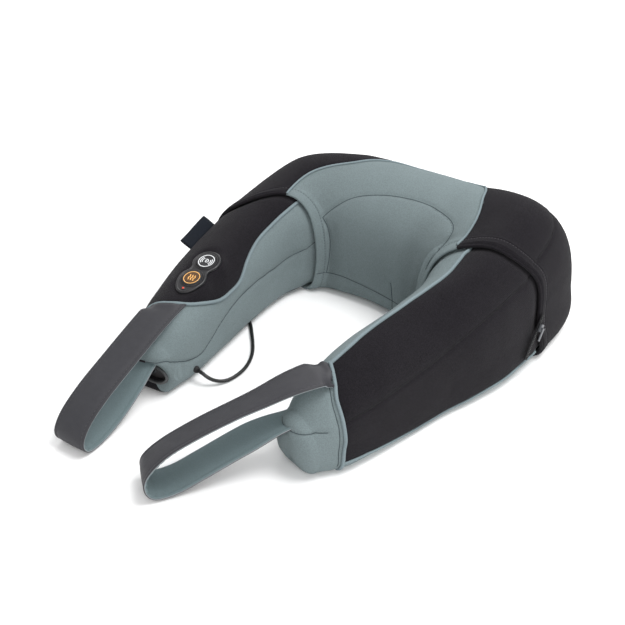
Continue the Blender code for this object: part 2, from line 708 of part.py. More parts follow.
def build_controls(parent, materials, left_pad):
    rig = add_empty("control_frame", parent, pod_matrix())
    half = BUTTON_SPACING / 2
    outline = pod_outline(-HOUSING_STEP)
    plastic = materials["black_plastic"]
    housing = prism("control_housing", outline, -HOUSING_DEPTH, BEZEL_LOW - GAP, plastic, rig)
    inner_outline = pod_outline(-HOUSING_STEP - HOUSING_WALL)
    hollow = prism("housing_hollow", inner_outline, -HOUSING_DEPTH + HOUSING_WALL, CUTTER_REACH, None, rig)
    cut(housing, [as_cutter(hollow)])
    bezel = prism("control_bezel", pod_outline(0.0), BEZEL_LOW, -BEZEL_LOW, plastic, rig)
    holes = []
    for name, y, radius, segments in (
        ("massage_hole", half, BUTTON_RADIUS + GAP, 16),
        ("heat_hole", -half, BUTTON_RADIUS + GAP, 16),
        ("lamp_hole", LAMP_Y, LAMP_RADIUS + GAP, 16),
    ):
        hole = rod(name, radius, (0, y, -CUTTER_REACH), (0, y, CUTTER_REACH), None, rig, segments)
        holes.append(as_cutter(hole))
    cut(bezel, holes)
    board_top = -HOUSING_DEPTH + HOUSING_WALL + BOARD_THICKNESS + BOARD_FOOT
    board_outline = pod_outline(-BOARD_STEP)
    prism("control_board", board_outline, board_top - BOARD_THICKNESS, board_top, materials["board"], rig)
    plunger_top = BUTTON_LOW - BUTTON_TRAVEL - GAP
    edge = BUTTON_RADIUS - BUTTON_EDGE
    profile = (
        (0.0, BUTTON_LOW), (BUTTON_RADIUS, BUTTON_LOW), (BUTTON_RADIUS, BUTTON_HIGH - BUTTON_EDGE),
        (edge, BUTTON_HIGH), (0.0, BUTTON_HIGH))
    for name, y in (("massage", half), ("heat", -half)):
        foot = (0, y, board_top + GAP)
        rod(name + "_switch", SWITCH_RADIUS, foot, (0, y, plunger_top), materials["switch"], rig)
        place = Matrix.Translation((0, y, 0))
        turned(name + "_button", profile, materials[name + "_button"], rig, place, 24)
    lamp_profile = (
        (0.0, board_top + GAP), (LAMP_RADIUS, board_top + GAP), (LAMP_RADIUS, 0.0012), (0.0007, 0.0018),
        (0.0, BUTTON_HIGH))
    turned("status_lamp", lamp_profile, materials["lamp"], rig, Matrix.Translation((0, LAMP_Y, 0)), 12)
    pocket_outline = pod_outline(-HOUSING_STEP + POCKET_ROOM)
    pocket = prism("pod_pocket", pocket_outline, -HOUSING_DEPTH - POCKET_ROOM, 0.004, None, rig)
    recess = prism("bezel_recess", pod_outline(POCKET_ROOM), BEZEL_LOW - GAP, 3 * CUTTER_REACH, None, rig)
    cut(left_pad, [as_cutter(pocket), as_cutter(recess)])


def port_outline(margin):
    return oval_outline(PORT_HALF_WIDTH + margin, PORT_HALF_HEIGHT + margin)


def build_port(parent, materials, left_pad):
    across = Vector((0, 0, 1)).cross(PORT_NORMAL).normalized()
    up = PORT_NORMAL.cross(across)
    frame = Matrix.Translation(PORT_CENTRE) @ Matrix((across, up, PORT_NORMAL)).transposed().to_4x4()
    rig = add_empty("port_frame", parent, frame)
    housing_top = -PORT_RIM_HALF - GAP
    plastic = materials["black_plastic"]
    housing = prism("port_housing", port_outline(0.0), -PORT_DEPTH, housing_top, plastic, rig)
    hollow = prism("port_hollow", port_outline(-PORT_WALL), PORT_FLOOR, CUTTER_REACH, None, rig)
    jack_ends = ((JACK_X, 0, -3 * CUTTER_REACH), (JACK_X, 0, CUTTER_REACH))
    jack_room = rod("jack_room", JACK_RADIUS + GAP, *jack_ends, None, rig, 24)
    cut(housing, [as_cutter(hollow), as_cutter(jack_room)])
    rim_outline = port_outline(PORT_RIM)
    bezel = prism("port_bezel", rim_outline, -PORT_RIM_HALF, PORT_RIM_HALF, materials["port_rim"], rig)
    cut(bezel, [hollow])
    mouth = PORT_FLOOR + 0.0006
    back = -PORT_DEPTH + 0.0005
    bore_end = back + 0.0015
    pin_tip = PORT_FLOOR - 0.0008
    profile = (
        (0.0, back), (JACK_RADIUS, back), (JACK_RADIUS, mouth), (JACK_BORE, mouth), (JACK_BORE, bore_end),
        (JACK_PIN, bore_end), (JACK_PIN, pin_tip - 0.0004), (0.0, pin_tip))
    turned("power_jack", profile, materials["jack"], rig, Matrix.Translation((JACK_X, 0, 0)), 24)
    pocket_outline = port_outline(POCKET_ROOM)
    pocket = prism("port_pocket", pocket_outline, -PORT_DEPTH - POCKET_ROOM, 2 * CUTTER_REACH, None, rig)
    rim_room = port_outline(PORT_RIM + POCKET_ROOM)
    rim = prism("port_rim_recess", rim_room, -PORT_RIM_HALF - GAP, 2 * CUTTER_REACH, None, rig)
    cut(left_pad, [as_cutter(pocket), as_cutter(rim)])


# ---------------------------------------------------------------- lead

def build_gland(parent, materials, left_pad):
    """The rubber sleeve that the lead comes out of, in a pocket of the control arm's inner side."""
    direction = Vector((1, 0, 0))
    inside = GLAND_POINT - direction * GLAND_LENGTH
    bore = CORD_RADIUS + GAP
    profile = (
        (bore, 0.0), (GLAND_RADIUS, 0.0), (GLAND_RADIUS, 0.75 * GLAND_LENGTH), (GLAND_LIP, GLAND_LENGTH),
        (bore, GLAND_LENGTH))
    turned("cord_gland", profile, materials["rubber"], parent, axis_matrix(inside, direction), 20)
    first = inside - direction * GAP
    last = GLAND_POINT + direction * 2 * CUTTER_REACH
    pocket = rod("gland_pocket", GLAND_RADIUS + GAP, first, last, None, parent, 20)
    cut(left_pad, [as_cutter(pocket)])


def build_coil(parent, materials):
    """The lead's two put-away turns as one ring, and the tie that holds them."""
    inner = COIL_RADIUS - COIL_WIDTH / 2
    outer = COIL_RADIUS + COIL_WIDTH / 2
    edge = 0.0014
    top = COIL_BOTTOM + COIL_HEIGHT
    ring = (
        (inner + edge, COIL_BOTTOM), (outer - edge, COIL_BOTTOM), (outer, COIL_BOTTOM + edge),
        (outer, top - edge), (outer - edge, top), (inner + edge, top), (inner, top - edge),
        (inner, COIL_BOTTOM + edge))
    turned("lead_coil", ring, materials["cord"], parent, Matrix.Translation(COIL_CENTRE), 28)
    side = Vector((math.cos(TIE_ANGLE), math.sin(TIE_ANGLE), 0))
    ahead = Vector((-side.y, side.x, 0))
    place = Matrix.Translation(COIL_CENTRE + side * COIL_RADIUS)
    place = place @ Matrix((side, ahead, Vector((0, 0, 1)))).transposed().to_4x4()
    rig = add_empty("tie_frame", parent, place)
    half = COIL_WIDTH / 2 + 3 * GAP
    low = Vector((-half - TIE_WALL, -TIE_WIDTH / 2, 0.0001))
    high = Vector((half + TIE_WALL, TIE_WIDTH / 2, top + TIE_WALL + GAP))
    tie = box("coil_tie", low, high, materials["rubber"], rig)
    room = box("tie_room", (-half, -TIE_WIDTH, COIL_BOTTOM - GAP), (half, TIE_WIDTH, top + GAP), None, rig)
    cut(tie, [as_cutter(room)])


def build_lead(parent, materials, left_pad):
    build_gland(parent, materials, left_pad)
    under_arm = CORD_ROUTE[10:18]
    groove_radius = CORD_RADIUS + CHANNEL_ROOM
    groove = pipe_cutter("cord_groove", under_arm, groove_radius, 16, parent)
    below = [(x, y, z - 0.0015) for x, y, z in under_arm]
    groove_mouth = pipe_cutter("cord_groove_mouth", below, groove_radius, 16, parent)
    cut(left_pad, [groove, groove_mouth])
    start = GLAND_POINT - Vector((GLAND_LENGTH - GAP, 0, 0))
    route = [tuple(start), tuple(start.lerp(Vector(CORD_ROUTE[0]), 0.5)), *CORD_ROUTE]
    pipe("power_lead", route, CORD_RADIUS, 60, materials["cord"], parent)
    build_coil(parent, materials)
    profile = (
        (0.0, 0.0), (SOCKET_BOOT_RADIUS, 0.0), (SOCKET_RADIUS, 0.006), (SOCKET_RADIUS, SOCKET_LENGTH),
        (SOCKET_BORE, SOCKET_LENGTH), (SOCKET_BORE, 0.018), (0.0, 0.018))
    place = axis_matrix(COIL_CENTRE + SOCKET_OFFSET, Vector((1, 0, 0)))
    turned("inline_socket", profile, materials["black_plastic"], parent, place, 24)


# ---------------------------------------------------------------- kneading mechanism

def gear_outline(radius, bore, teeth, depth):
    outline = []
    for i in range(teeth):
        for share, r in ((0.0, radius - depth), (0.5, radius), (0.8, radius)):
            angle = 2 * math.pi * (i + share) / teeth
            outline.append((r * math.cos(angle), r * math.sin(angle)))
    hole = []
    for i in range(len(outline)):
        angle = 2 * math.pi * i / len(outline)
        hole.append((bore * math.cos(angle), bore * math.sin(angle)))
    return outline, hole


def ring_plate(name, outline, hole, low, high, material, parent, matrix):
    """A plate with a hole; outline and hole have the same number of points."""
    loops = [[(x, y, low) for x, y in hole], [(x, y, low) for x, y in outline],
             [(x, y, high) for x, y in outline], [(x, y, high) for x, y in hole]]
    rings = [[matrix @ Vector(point) for point in loop] for loop in loops]
    return loft(name, rings, material, parent, closed=True)


def build_worm(name, centre, hand, material, parent):
    """A threaded roller along X on the motor's shaft."""
    rings = []
    steps = 18
    around = 10
    pitch = 0.0055
    core = WORM_RADIUS - 0.0014
    bore = SHAFT_RADIUS + GAP
    ends = []
    for k in range(steps + 1):
        x = WORM_LENGTH * (k / steps - 0.5)
        ring = []
        for i in range(around):
            angle = 2 * math.pi * i / around
            phase = (x / pitch - hand * angle / (2 * math.pi)) * 2 * math.pi
            radius = core + (WORM_RADIUS - core) * (0.5 + 0.5 * math.cos(phase))
            ring.append(centre + Vector((x, radius * math.cos(angle), radius * math.sin(angle))))
        rings.append(ring)
    for x in (WORM_LENGTH / 2, -WORM_LENGTH / 2):
        ring = []
        for i in range(around):
            angle = 2 * math.pi * i / around
            ring.append(centre + Vector((x, bore * math.cos(angle), bore * math.sin(angle))))
        ends.append(ring)
    return put_origin(loft(name, rings + ends, material, parent, closed=True), centre)


def facing_back(x, y, z):
    """Frame at a point whose Z axis is the collar's Y axis."""
    return Matrix.Translation((x, y, z)) @ Matrix.Rotation(math.radians(-90), 4, 'X')


def build_node(name, middle, material_set, parent):
    """A kneading node: a ball cut off flat at both ends, with a stepped hole for its pin, and that pin."""
    matrix = facing_back(middle.x, NODE_FRONT_Y, middle.z)
    flat = NODE_RADIUS * (1 - math.sin(math.radians(NODE_FLAT_ANGLE)))
    step = flat + PIN_HEAD_ROOM
    profile = [
        (PIN_HEAD_RADIUS + PIN_CLEARANCE, flat), (PIN_HEAD_RADIUS + PIN_CLEARANCE, step),
        (PIN_RADIUS + GAP, step), (PIN_RADIUS + GAP, 2 * NODE_RADIUS - flat)]
    for i in range(8):
        tilt = math.radians(NODE_FLAT_ANGLE * (2 * i / 7 - 1))
        profile.append((NODE_RADIUS * math.cos(tilt), NODE_RADIUS - NODE_RADIUS * math.sin(tilt)))
    node = turned(name + "_node", profile, material_set["node"], parent, matrix, 16)
    put_origin(node, matrix.translation)
    head = flat + GAP
    neck = head + PIN_HEAD_HEIGHT
    end = HEAD_ARM_Y[0] + PIN_REACH - NODE_FRONT_Y
    pin_profile = (
        (0.0, head), (PIN_HEAD_RADIUS, head), (PIN_HEAD_RADIUS, neck), (PIN_RADIUS, neck), (PIN_RADIUS, end),
        (0.0, end))
    return turned(name + "_pin", pin_profile, material_set["steel"], parent, matrix, 14)


def build_heat_post(side, centre, material_set, parent):
    """A heat lamp that stands still in front of the kneading head, on a post through the hollow axle."""
    foot = (centre.x, AXLE_END_Y, centre.z)
    front = (centre.x, POST_FRONT_Y, centre.z)
    rod(side + "_heat_post", POST_RADIUS, front, foot, material_set["white_plastic"], parent)
    lens = [(0.0, 0.0)]
    for i in range(6):
        tilt = math.radians(90 - 90 * (i + 1) / 6)
        lens.append((LENS_RADIUS * math.cos(tilt), LENS_HEIGHT * (1 - math.sin(tilt))))
    lens.append((0.0, LENS_HEIGHT))
    place = facing_back(centre.x, POST_FRONT_Y - GAP - LENS_HEIGHT, centre.z)
    turned(side + "_heat_lamp", lens, material_set["lamp"], parent, place, 14)


def build_head(side, centre, material_set, parent):
    """One kneading head, turning about centre's Y axis: axle, worm wheel, arm, and two nodes on pins."""
    backwards = facing_back(centre.x, 0, centre.z)
    wheel_low = MECHANISM.y - WHEEL_WIDTH / 2
    bore_radius = AXLE_RADIUS + GAP
    outline, hole = gear_outline(WHEEL_RADIUS, bore_radius, WHEEL_TEETH, TOOTH_DEPTH)
    wheel_high = wheel_low + WHEEL_WIDTH
    wheel = ring_plate(side + "_worm_wheel", outline, hole, wheel_low, wheel_high, material_set["gear"], parent,
                       backwards)
    front = HEAD_ARM_Y[0]
    axle_ends = ((centre.x, front - 0.0010, centre.z), (centre.x, AXLE_END_Y, centre.z))
    axle = tube(side + "_axle", AXLE_BORE, AXLE_RADIUS, *axle_ends, material_set["steel"], parent)
    turning = [wheel, axle]
    angle = math.radians(90.0 - HEAD_REST_ANGLE if side == "left" else 90.0 + HEAD_REST_ANGLE)
    turn = backwards @ Matrix.Rotation(angle, 4, 'Z')
    arm_outline = capsule_outline(HEAD_ORBIT, HEAD_ARM_RADIUS)
    arm = prism(side + "_head_arm", arm_outline, front, HEAD_ARM_Y[1], material_set["arm"], parent, turn)
    reach = 2 * CUTTER_REACH
    bore_ends = ((centre.x, front - reach, centre.z), (centre.x, front + reach, centre.z))
    holes = [as_cutter(rod(side + "_arm_bore", bore_radius, *bore_ends, None, parent, 26))]
    for place, sign in (("upper", 1), ("lower", -1)):
        middle = turn @ Vector((0, sign * HEAD_ORBIT, 0))
        turning.append(build_node(side + "_" + place, middle, material_set, parent))
        ends = ((middle.x, front - CUTTER_REACH, middle.z), (middle.x, front + 0.0061, middle.z))
        hole = rod(side + "_" + place + "_pin_hole", PIN_RADIUS + GAP, *ends, None, parent, 14)
        holes.append(as_cutter(hole))
    cut(arm, holes)
    for item in (*turning, arm):
        put_origin(item, centre)
    build_heat_post(side, centre, material_set, parent)
    for place, (low, high) in (("front", FRONT_BUSH_Y), ("rear", REAR_BUSH_Y)):
        ends = ((centre.x, low, centre.z), (centre.x, high, centre.z))
        tube("%s_%s_bush" % (side, place), bore_radius, BUSH_RADIUS, *ends, material_set["bush"], parent)


def build_screws(front, rear, parent, materials, low, high):
    """Four screws with a boss in each half. Returns the cutters for their holes."""
    split = MECHANISM.y
    corners = [(x, z) for x in (low.x + SCREW_INSET, high.x - SCREW_INSET)
               for z in (low.z + SCREW_INSET, high.z - SCREW_INSET)]
    holes = []
    for number, (x, z) in enumerate(corners, 1):
        front_ends = ((x, low.y + 0.001, z), (x, split - 3 * GAP, z))
        rear_ends = ((x, split + 3 * GAP, z), (x, high.y - 0.001, z))
        boss_front = rod("screw_boss_front_%d" % number, BOSS_RADIUS, *front_ends, None, parent, 12)
        boss_rear = rod("screw_boss_rear_%d" % number, BOSS_RADIUS, *rear_ends, None, parent, 12)
        join(front, [as_cutter(boss_front)])
        join(rear, [as_cutter(boss_rear)])
        hole_ends = ((x, split - SCREW_DEPTH - 0.002, z), (x, high.y + CUTTER_REACH, z))
        hole = rod("screw_hole_%d" % number, SCREW_RADIUS + GAP, *hole_ends, None, parent, 10)
        holes.append(as_cutter(hole))
        head = high.y - split + SCREW_DEPTH + GAP
        profile = (
            (0.0, 0.0), (SCREW_RADIUS, 0.0), (SCREW_RADIUS, head), (2 * SCREW_RADIUS, head),
            (2 * SCREW_RADIUS - 0.0004, head + SCREW_HEAD), (0.0, head + SCREW_HEAD))
        place = facing_back(x, split - SCREW_DEPTH, z)
        turned("case_screw_%d" % number, profile, materials["steel"], parent, place, 12)
    return holes


def build_bearing_seats(front, rear, parent, centres, low, high):
    """Seats for the heads' bushes: through the front half, and in a boss of the rear half."""
    for centre in centres:
        name = "left" if centre.x < MECHANISM.x else "right"
        ends = ((centre.x, low.y - CUTTER_REACH, centre.z), (centre.x, low.y + 0.008, centre.z))
        cut(front, [as_cutter(rod(name + "_front_hole", BUSH_RADIUS + GAP, *ends, None, parent))])
        ends = ((centre.x, REAR_BUSH_Y[0] - 0.0005, centre.z), (centre.x, high.y - 0.001, centre.z))
        boss = rod(name + "_rear_boss", BUSH_RADIUS + 0.0022, *ends, None, parent)
        ends = ((centre.x, 0.16, centre.z), (centre.x, REAR_BUSH_Y[1] + 0.0005, centre.z))
        seat = rod(name + "_rear_seat", BUSH_RADIUS + GAP, *ends, None, parent, 18)
        join(rear, [as_cutter(boss)])
        cut(rear, [as_cutter(seat)])


def build_gearbox(parent, materials, centres):
    half = CASE_SIZE / 2
    low = CASE_CENTRE - half
    high = CASE_CENTRE + half
    split = MECHANISM.y
    wall = Vector((CASE_WALL, CASE_WALL, CASE_WALL))
    front = box("gearbox_front", low, (high.x, split - GAP / 2, high.z), materials["case"], parent)
    rear = box("gearbox_rear", (low.x, split + GAP / 2, low.z), high, materials["case"], parent)
    room = as_cutter(box("gearbox_room", low + wall, high - wall, None, parent))
    cut(front, [room])
    cut(rear, [room])
    saddle_plates = []
    for i, x in enumerate((MECHANISM.x - SADDLE_SPREAD, MECHANISM.x + SADDLE_SPREAD)):
        corner = (x - 0.0015, split + 0.002, low.z + 0.001)
        far_corner = (x + 0.0015, high.y - 0.001, MECHANISM.z - SADDLE_SPREAD)
        saddle_plates.append(as_cutter(box("saddle_plate_%d" % i, corner, far_corner, None, parent)))
    join(rear, saddle_plates)
    motor_z = MECHANISM.z - WORM_DROP
    motor_ends = ((MECHANISM.x - WORM_DROP, split, motor_z), (MECHANISM.x + WORM_DROP, split, motor_z))
    motor_room = as_cutter(rod("motor_room", MOTOR_RADIUS + GAP, *motor_ends, None, parent, 20))
    screw_holes = build_screws(front, rear, parent, materials, low, high)
    build_bearing_seats(front, rear, parent, centres, low, high)
    cut(front, screw_holes)
    cut(rear, screw_holes + [motor_room])
    outside = (low.x - CUTTER_REACH, CABLE_ENTRY_Y, CABLE_ENTRY_Z)
    cable_ends = (outside, (low.x + 0.006, CABLE_ENTRY_Y, CABLE_ENTRY_Z))
    cable_hole = rod("cable_hole", HARNESS_RADIUS + 3 * GAP, *cable_ends, None, parent)
    cut(front, [as_cutter(cable_hole)])


def build_drive(parent, materials, centres):
    x, y = MECHANISM.x, MECHANISM.y
    z = MECHANISM.z - WORM_DROP
    bore = SHAFT_RADIUS + GAP
    can_ends = ((x - 0.024, y, z), (x + 0.017, y, z))
    tube("motor_can", bore, MOTOR_RADIUS, *can_ends, materials["steel"], parent, 20)
    cap_ends = ((x + 0.017 + GAP, y, z), (x + 0.0235, y, z))
    tube("motor_end_cap", bore, MOTOR_RADIUS, *cap_ends, materials["white_plastic"], parent, 20)
    shaft_ends = ((x - SHAFT_REACH, y, z), (x + SHAFT_REACH, y, z))
    shaft = rod("motor_shaft", SHAFT_RADIUS, *shaft_ends, materials["steel"], parent, 12)
    put_origin(shaft, (x, y, z))
    for centre, hand in zip(centres, (1, -1)):
        side = "left" if centre.x < x else "right"
        build_worm(side + "_worm", Vector((centre.x, y, z)), hand, materials["brass"], parent)


def build_harness(parent, materials, left_pad, foam):
    """Wires from the power port past the control panel to the gearbox, in a channel through pad and foam."""
    pipe("wiring_harness", HARNESS_ROUTE, HARNESS_RADIUS, 30, materials["cord"], parent)
    channel = pipe_cutter("harness_channel", HARNESS_ROUTE[:-1], HARNESS_RADIUS + CHANNEL_ROOM, 30, parent)
    cut(left_pad, [channel])
    cut(foam, [channel])


# ---------------------------------------------------------------- assembly

def build_materials():
    return {
        "grey_knit": make_material("grey_knit", (0.20, 0.24, 0.25), 0.95),
        "black_knit": make_material("black_knit", (0.025, 0.023, 0.027), 0.95),
        "cover_knit": make_material("cover_knit", (0.18, 0.22, 0.23), 0.95),
        "foam": make_material("foam", (0.75, 0.74, 0.68), 1.0),
        "strap": make_material("strap_leather", (0.06, 0.06, 0.068), 0.55),
        "tag": make_material("tag_cloth", (0.015, 0.017, 0.022), 0.9),
        "zip": make_material("zip_tape", (0.01, 0.01, 0.01), 0.8),
        "zip_metal": make_material("zip_metal", (0.55, 0.56, 0.58), 0.3, 1.0),
        "black_plastic": make_material("black_plastic", (0.02, 0.02, 0.022), 0.4),
        "port_rim": make_material("port_rim", (0.03, 0.032, 0.033), 0.45),
        "jack": make_material("jack", (0.01, 0.01, 0.01), 0.35),
        "board": make_material("board", (0.02, 0.15, 0.05), 0.5),
        "switch": make_material("switch", (0.08, 0.08, 0.08), 0.5),
        "massage_button": make_material("massage_button", (0.06, 0.06, 0.062), 0.35),
        "heat_button": make_material("heat_button", (0.25, 0.11, 0.01), 0.35),
        "lamp": make_material("lamp", (0.7, 0.05, 0.03), 0.2),
        "rubber": make_material("rubber", (0.012, 0.012, 0.012), 0.7),
        "cord": make_material("cord", (0.008, 0.008, 0.008), 0.45),
        "case": make_material("case", (0.30, 0.31, 0.32), 0.5),
        "steel": make_material("steel", (0.5, 0.5, 0.52), 0.3, 1.0),
        "brass": make_material("brass", (0.7, 0.5, 0.2), 0.3, 1.0),
        "gear": make_material("gear", (0.8, 0.78, 0.7), 0.5),
        "arm": make_material("arm", (0.05, 0.05, 0.055), 0.5),
        "node": make_material("node", (0.35, 0.36, 0.37), 0.4),
        "bush": make_material("bush", (0.5, 0.35, 0.16), 0.45, 1.0),
        "white_plastic": make_material("white_plastic", (0.75, 0.75, 0.73), 0.5),
    }


def main():
    clear_scene()
    materials = build_materials()
    root = add_empty("collar_frame", None, Matrix.Translation(-FRAME_ORIGIN))
    left_pad, right_pad = build_arm_pads(root, materials)
    build_cover(root, materials)
    foam = build_foam(root, materials)
    build_hand_loop("left", LEFT_LOOP, root, materials, left_pad)
    build_hand_loop("right", RIGHT_LOOP, root, materials, right_pad)
    build_tag(root, materials)
    build_zip(root, materials)
    build_controls(root, materials, left_pad)
    build_port(root, materials, left_pad)
    build_lead(root, materials, left_pad)
    build_harness(root, materials, left_pad, foam)
    centres = [MECHANISM + Vector((side * HEAD_OFFSET, 0, 0)) for side in (-1, 1)]
    build_gearbox(root, materials, centres)
    build_drive(root, materials, centres)
    for side, centre in zip(("left", "right"), centres):
        build_head(side, centre, materials, root)


main()
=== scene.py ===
"""Looks of the shiatsu neck massager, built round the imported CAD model.

The soft skins follow the same collar surface as the CAD: a point of it has a station s, which runs from
the control arm's tip (0) round the back to the other tip (14), and an outline position u, which runs from
the inner bottom edge (0) over the top (about 3 to 4) to the outer bottom edge (7) and back to 8.
All lengths are in metres.
"""
import math

import bmesh
import bpy
import numpy as np
from mathutils import Matrix, Vector, noise
from mathutils.bvhtree import BVHTree


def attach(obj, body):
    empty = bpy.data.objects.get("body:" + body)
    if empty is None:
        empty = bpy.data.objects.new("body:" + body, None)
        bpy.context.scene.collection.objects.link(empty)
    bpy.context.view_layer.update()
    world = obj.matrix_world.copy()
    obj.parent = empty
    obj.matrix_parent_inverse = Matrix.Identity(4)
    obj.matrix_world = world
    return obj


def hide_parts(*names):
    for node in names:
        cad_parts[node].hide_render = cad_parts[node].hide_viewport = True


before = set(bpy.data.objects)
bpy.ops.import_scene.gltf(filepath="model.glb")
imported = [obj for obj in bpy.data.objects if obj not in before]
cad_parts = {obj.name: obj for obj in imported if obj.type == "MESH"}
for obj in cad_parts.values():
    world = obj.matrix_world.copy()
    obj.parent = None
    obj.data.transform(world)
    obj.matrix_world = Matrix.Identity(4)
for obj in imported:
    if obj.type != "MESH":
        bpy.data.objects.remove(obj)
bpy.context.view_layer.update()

ORIGIN = np.array((0.0129, -0.0138, 0.0))  # the row frame's origin in the collar's own frame

# ------------------------------------------------------------------ the collar's surface

ARM_LEFT = (
    (-0.42, 0), (-0.50, 0.38), (-0.46, 0.80), (-0.22, 1.0), (0.14, 0.97), (0.42, 0.74), (0.5, 0.40),
    (0.44, 0),
)
ARM_RIGHT = (
    (-0.42, 0), (-0.47, 0.36), (-0.385, 0.76), (-0.15, 1.0), (0.18, 0.93), (0.43, 0.70), (0.5, 0.38),
    (0.44, 0),
)
BACK = (
    (-0.44, 0), (-0.49, 0.30), (-0.40, 0.74), (-0.12, 0.97), (0.18, 1.0), (0.42, 0.76), (0.5, 0.40),
    (0.44, 0),
)
# Inner edge x, y, outer edge x, y, height, outline.
STATIONS = (
    (-0.062, -0.137, -0.110, -0.148, 0.058, ARM_LEFT),
    (-0.061, -0.105, -0.125, -0.119, 0.077, ARM_LEFT),
    (-0.069, -0.048, -0.143, -0.064, 0.090, ARM_LEFT),
    (-0.077, 0.010, -0.157, 0.000, 0.100, ARM_LEFT),
    (-0.076, 0.058, -0.164, 0.066, 0.112, ARM_LEFT),
    (-0.061, 0.084, -0.148, 0.146, 0.125, BACK),
    (-0.038, 0.093, -0.084, 0.199, 0.130, BACK),
    (0.004, 0.099, -0.008, 0.217, 0.131, BACK),
    (0.042, 0.097, 0.062, 0.226, 0.133, BACK),
    (0.066, 0.086, 0.168, 0.213, 0.134, BACK),
    (0.077, 0.062, 0.179, 0.092, 0.121, BACK),
    (0.076, 0.016, 0.160, 0.004, 0.108, ARM_RIGHT),
    (0.068, -0.048, 0.146, -0.062, 0.100, ARM_RIGHT),
    (0.064, -0.098, 0.134, -0.110, 0.082, ARM_RIGHT),
    (0.067, -0.125, 0.121, -0.135, 0.060, ARM_RIGHT),
)
LAST = len(STATIONS) - 1.0
EDGES = np.array([station[:5] for station in STATIONS])
OUTLINES = np.array([station[5] for station in STATIONS])
NOSE_LENGTH = 0.0160  # how far a tip's rounded end stands out past its last station
NOSE_SQUARENESS = 0.95  # seen from above: 1 gives a half-round nose, 0 a flat end
NOSE_SQUARENESS_HIGH = 0.5  # the same, seen from the side
NOSE_MIDDLE_SHARE = 0.86  # height of the nose's furthest point, as a share of its section's middle height
NOSE_ROUND_HEIGHT = 0.032  # below this the nose curves back under
NOSE_FLOOR_CUT = 0.4  # share of the nose's length that is lost at the floor
BASE_ROUND_HEIGHT = 0.014  # below this the sides curve in under the collar
BASE_ROUND_INSET = 0.0065
TIP_ROUND_MORE = 1.3  # how much further the sides curve in at the right tip
TIP_ROUND_HIGHER = 0.7  # and how much higher up that starts
TIP_ROUND_REACH = 0.65  # in stations
CONTROL_TIP_SHARE = 0.35  # how much of that the control arm's tip has
LEFT_HEM = (4.45, 4.86, 4.72, 4.20, 3.58, 3.50, 3.50, 3.75)  # station of the cover's hem at u = 0, 1 ... 7
RIGHT_HEM = (9.45, 9.35, 9.22, 9.52, 9.69, 9.65, 9.70, 9.62)


def catmull_rom(a, b, c, d, f):
    square = (2 * a - 5 * b + 4 * c - d) * f ** 2
    cube = (3 * b - a - 3 * c + d) * f ** 3
    return 0.5 * (2 * b + (c - a) * f + square + cube)


def open_curve(values, t):
    """Points at parameters t of the smooth curve through the rows of values."""
    values = np.asarray(values, float)
    padded = np.concatenate((2 * values[:1] - values[1:2], values, 2 * values[-1:] - values[-2:-1]))
    t = np.asarray(t, float)
    i = np.clip(np.floor(t).astype(int), 0, len(values) - 2)
    f = (t - i).reshape(t.shape + (1,) * (values.ndim - 1))
    return catmull_rom(padded[i], padded[i + 1], padded[i + 2], padded[i + 3], f)


def closed_outline(outline, u):
    """Points at positions u of closed outlines, one outline of 8 points for each u."""
    i = np.floor(u).astype(int)
    f = (u - i)[:, None]
    rows = np.arange(len(u))
    before, first, second, after = (outline[rows, (i + k) % 8] for k in (-1, 0, 1, 2))
    return catmull_rom(before, first, second, after, f)


def hem_station(hem, u):
    values = np.broadcast_to(np.array(hem)[None, :, None], (len(u), 8, 1))
    return closed_outline(values, u)[:, 0]


def section_points(s, u):
    edges = open_curve(EDGES, s)
    inner, outer, height = edges[:, 0:2], edges[:, 2:4], edges[:, 4]
    width = np.linalg.norm(outer - inner, axis=1)
    outward = (outer - inner) / width[:, None]
    outline = closed_outline(open_curve(OUTLINES, s), u)
    high = np.maximum(outline[:, 1], 0.0) * height
    tip = np.exp(-((LAST - s) / TIP_ROUND_REACH) ** 2)
    tip += CONTROL_TIP_SHARE * np.exp(-(s / TIP_ROUND_REACH) ** 2)
    under = np.clip(1 - high / (BASE_ROUND_HEIGHT * (1 + TIP_ROUND_HIGHER * tip)), 0.0, 1.0)
    inset = BASE_ROUND_INSET * (1 + TIP_ROUND_MORE * tip) * (1 - np.sqrt(1 - under ** 2))
    radial = outline[:, 0] * (width - 2 * inset)
    flat = (inner + outer) / 2 + outward * radial[:, None]
    return np.column_stack((flat, high))


def nose_direction(s):
    edges = open_curve(EDGES, np.array([s]))[0]
    across = np.array((edges[2] - edges[0], edges[3] - edges[1], 0.0))
    across /= np.linalg.norm(across)
    ahead = np.array((across[1], -across[0], 0.0))
    return ahead if ahead[1] < 0 else -ahead


def surface(s, u):
    """The collar's surface in the row frame. Past either end, s runs one more unit to the nose's middle."""
    s = np.asarray(s, float)
    u = np.asarray(u, float)
    points = section_points(np.clip(s, 0.0, LAST), u)
    for end, beyond in ((0.0, -s), (LAST, s - LAST)):
        mask = beyond > 0
        if not mask.any():
            continue
        angle = np.clip(beyond[mask], 0, 1) * math.pi / 2
        shrink = np.cos(angle)[:, None] ** (NOSE_SQUARENESS, NOSE_SQUARENESS, NOSE_SQUARENESS_HIGH)
        ring = section_points(np.full(64, end), np.arange(64) / 8)
        middle = ring.mean(axis=0)
        middle[2] *= NOSE_MIDDLE_SHARE
        ahead = nose_direction(end)
        low = np.clip(1 - points[mask, 2] / NOSE_ROUND_HEIGHT, 0, 1)
        reach = NOSE_LENGTH * np.sin(angle) * (1 - NOSE_FLOOR_CUT * low ** 2)
        points[mask] = middle + (points[mask] - middle) * shrink + ahead * reach[:, None]
    return points - ORIGIN


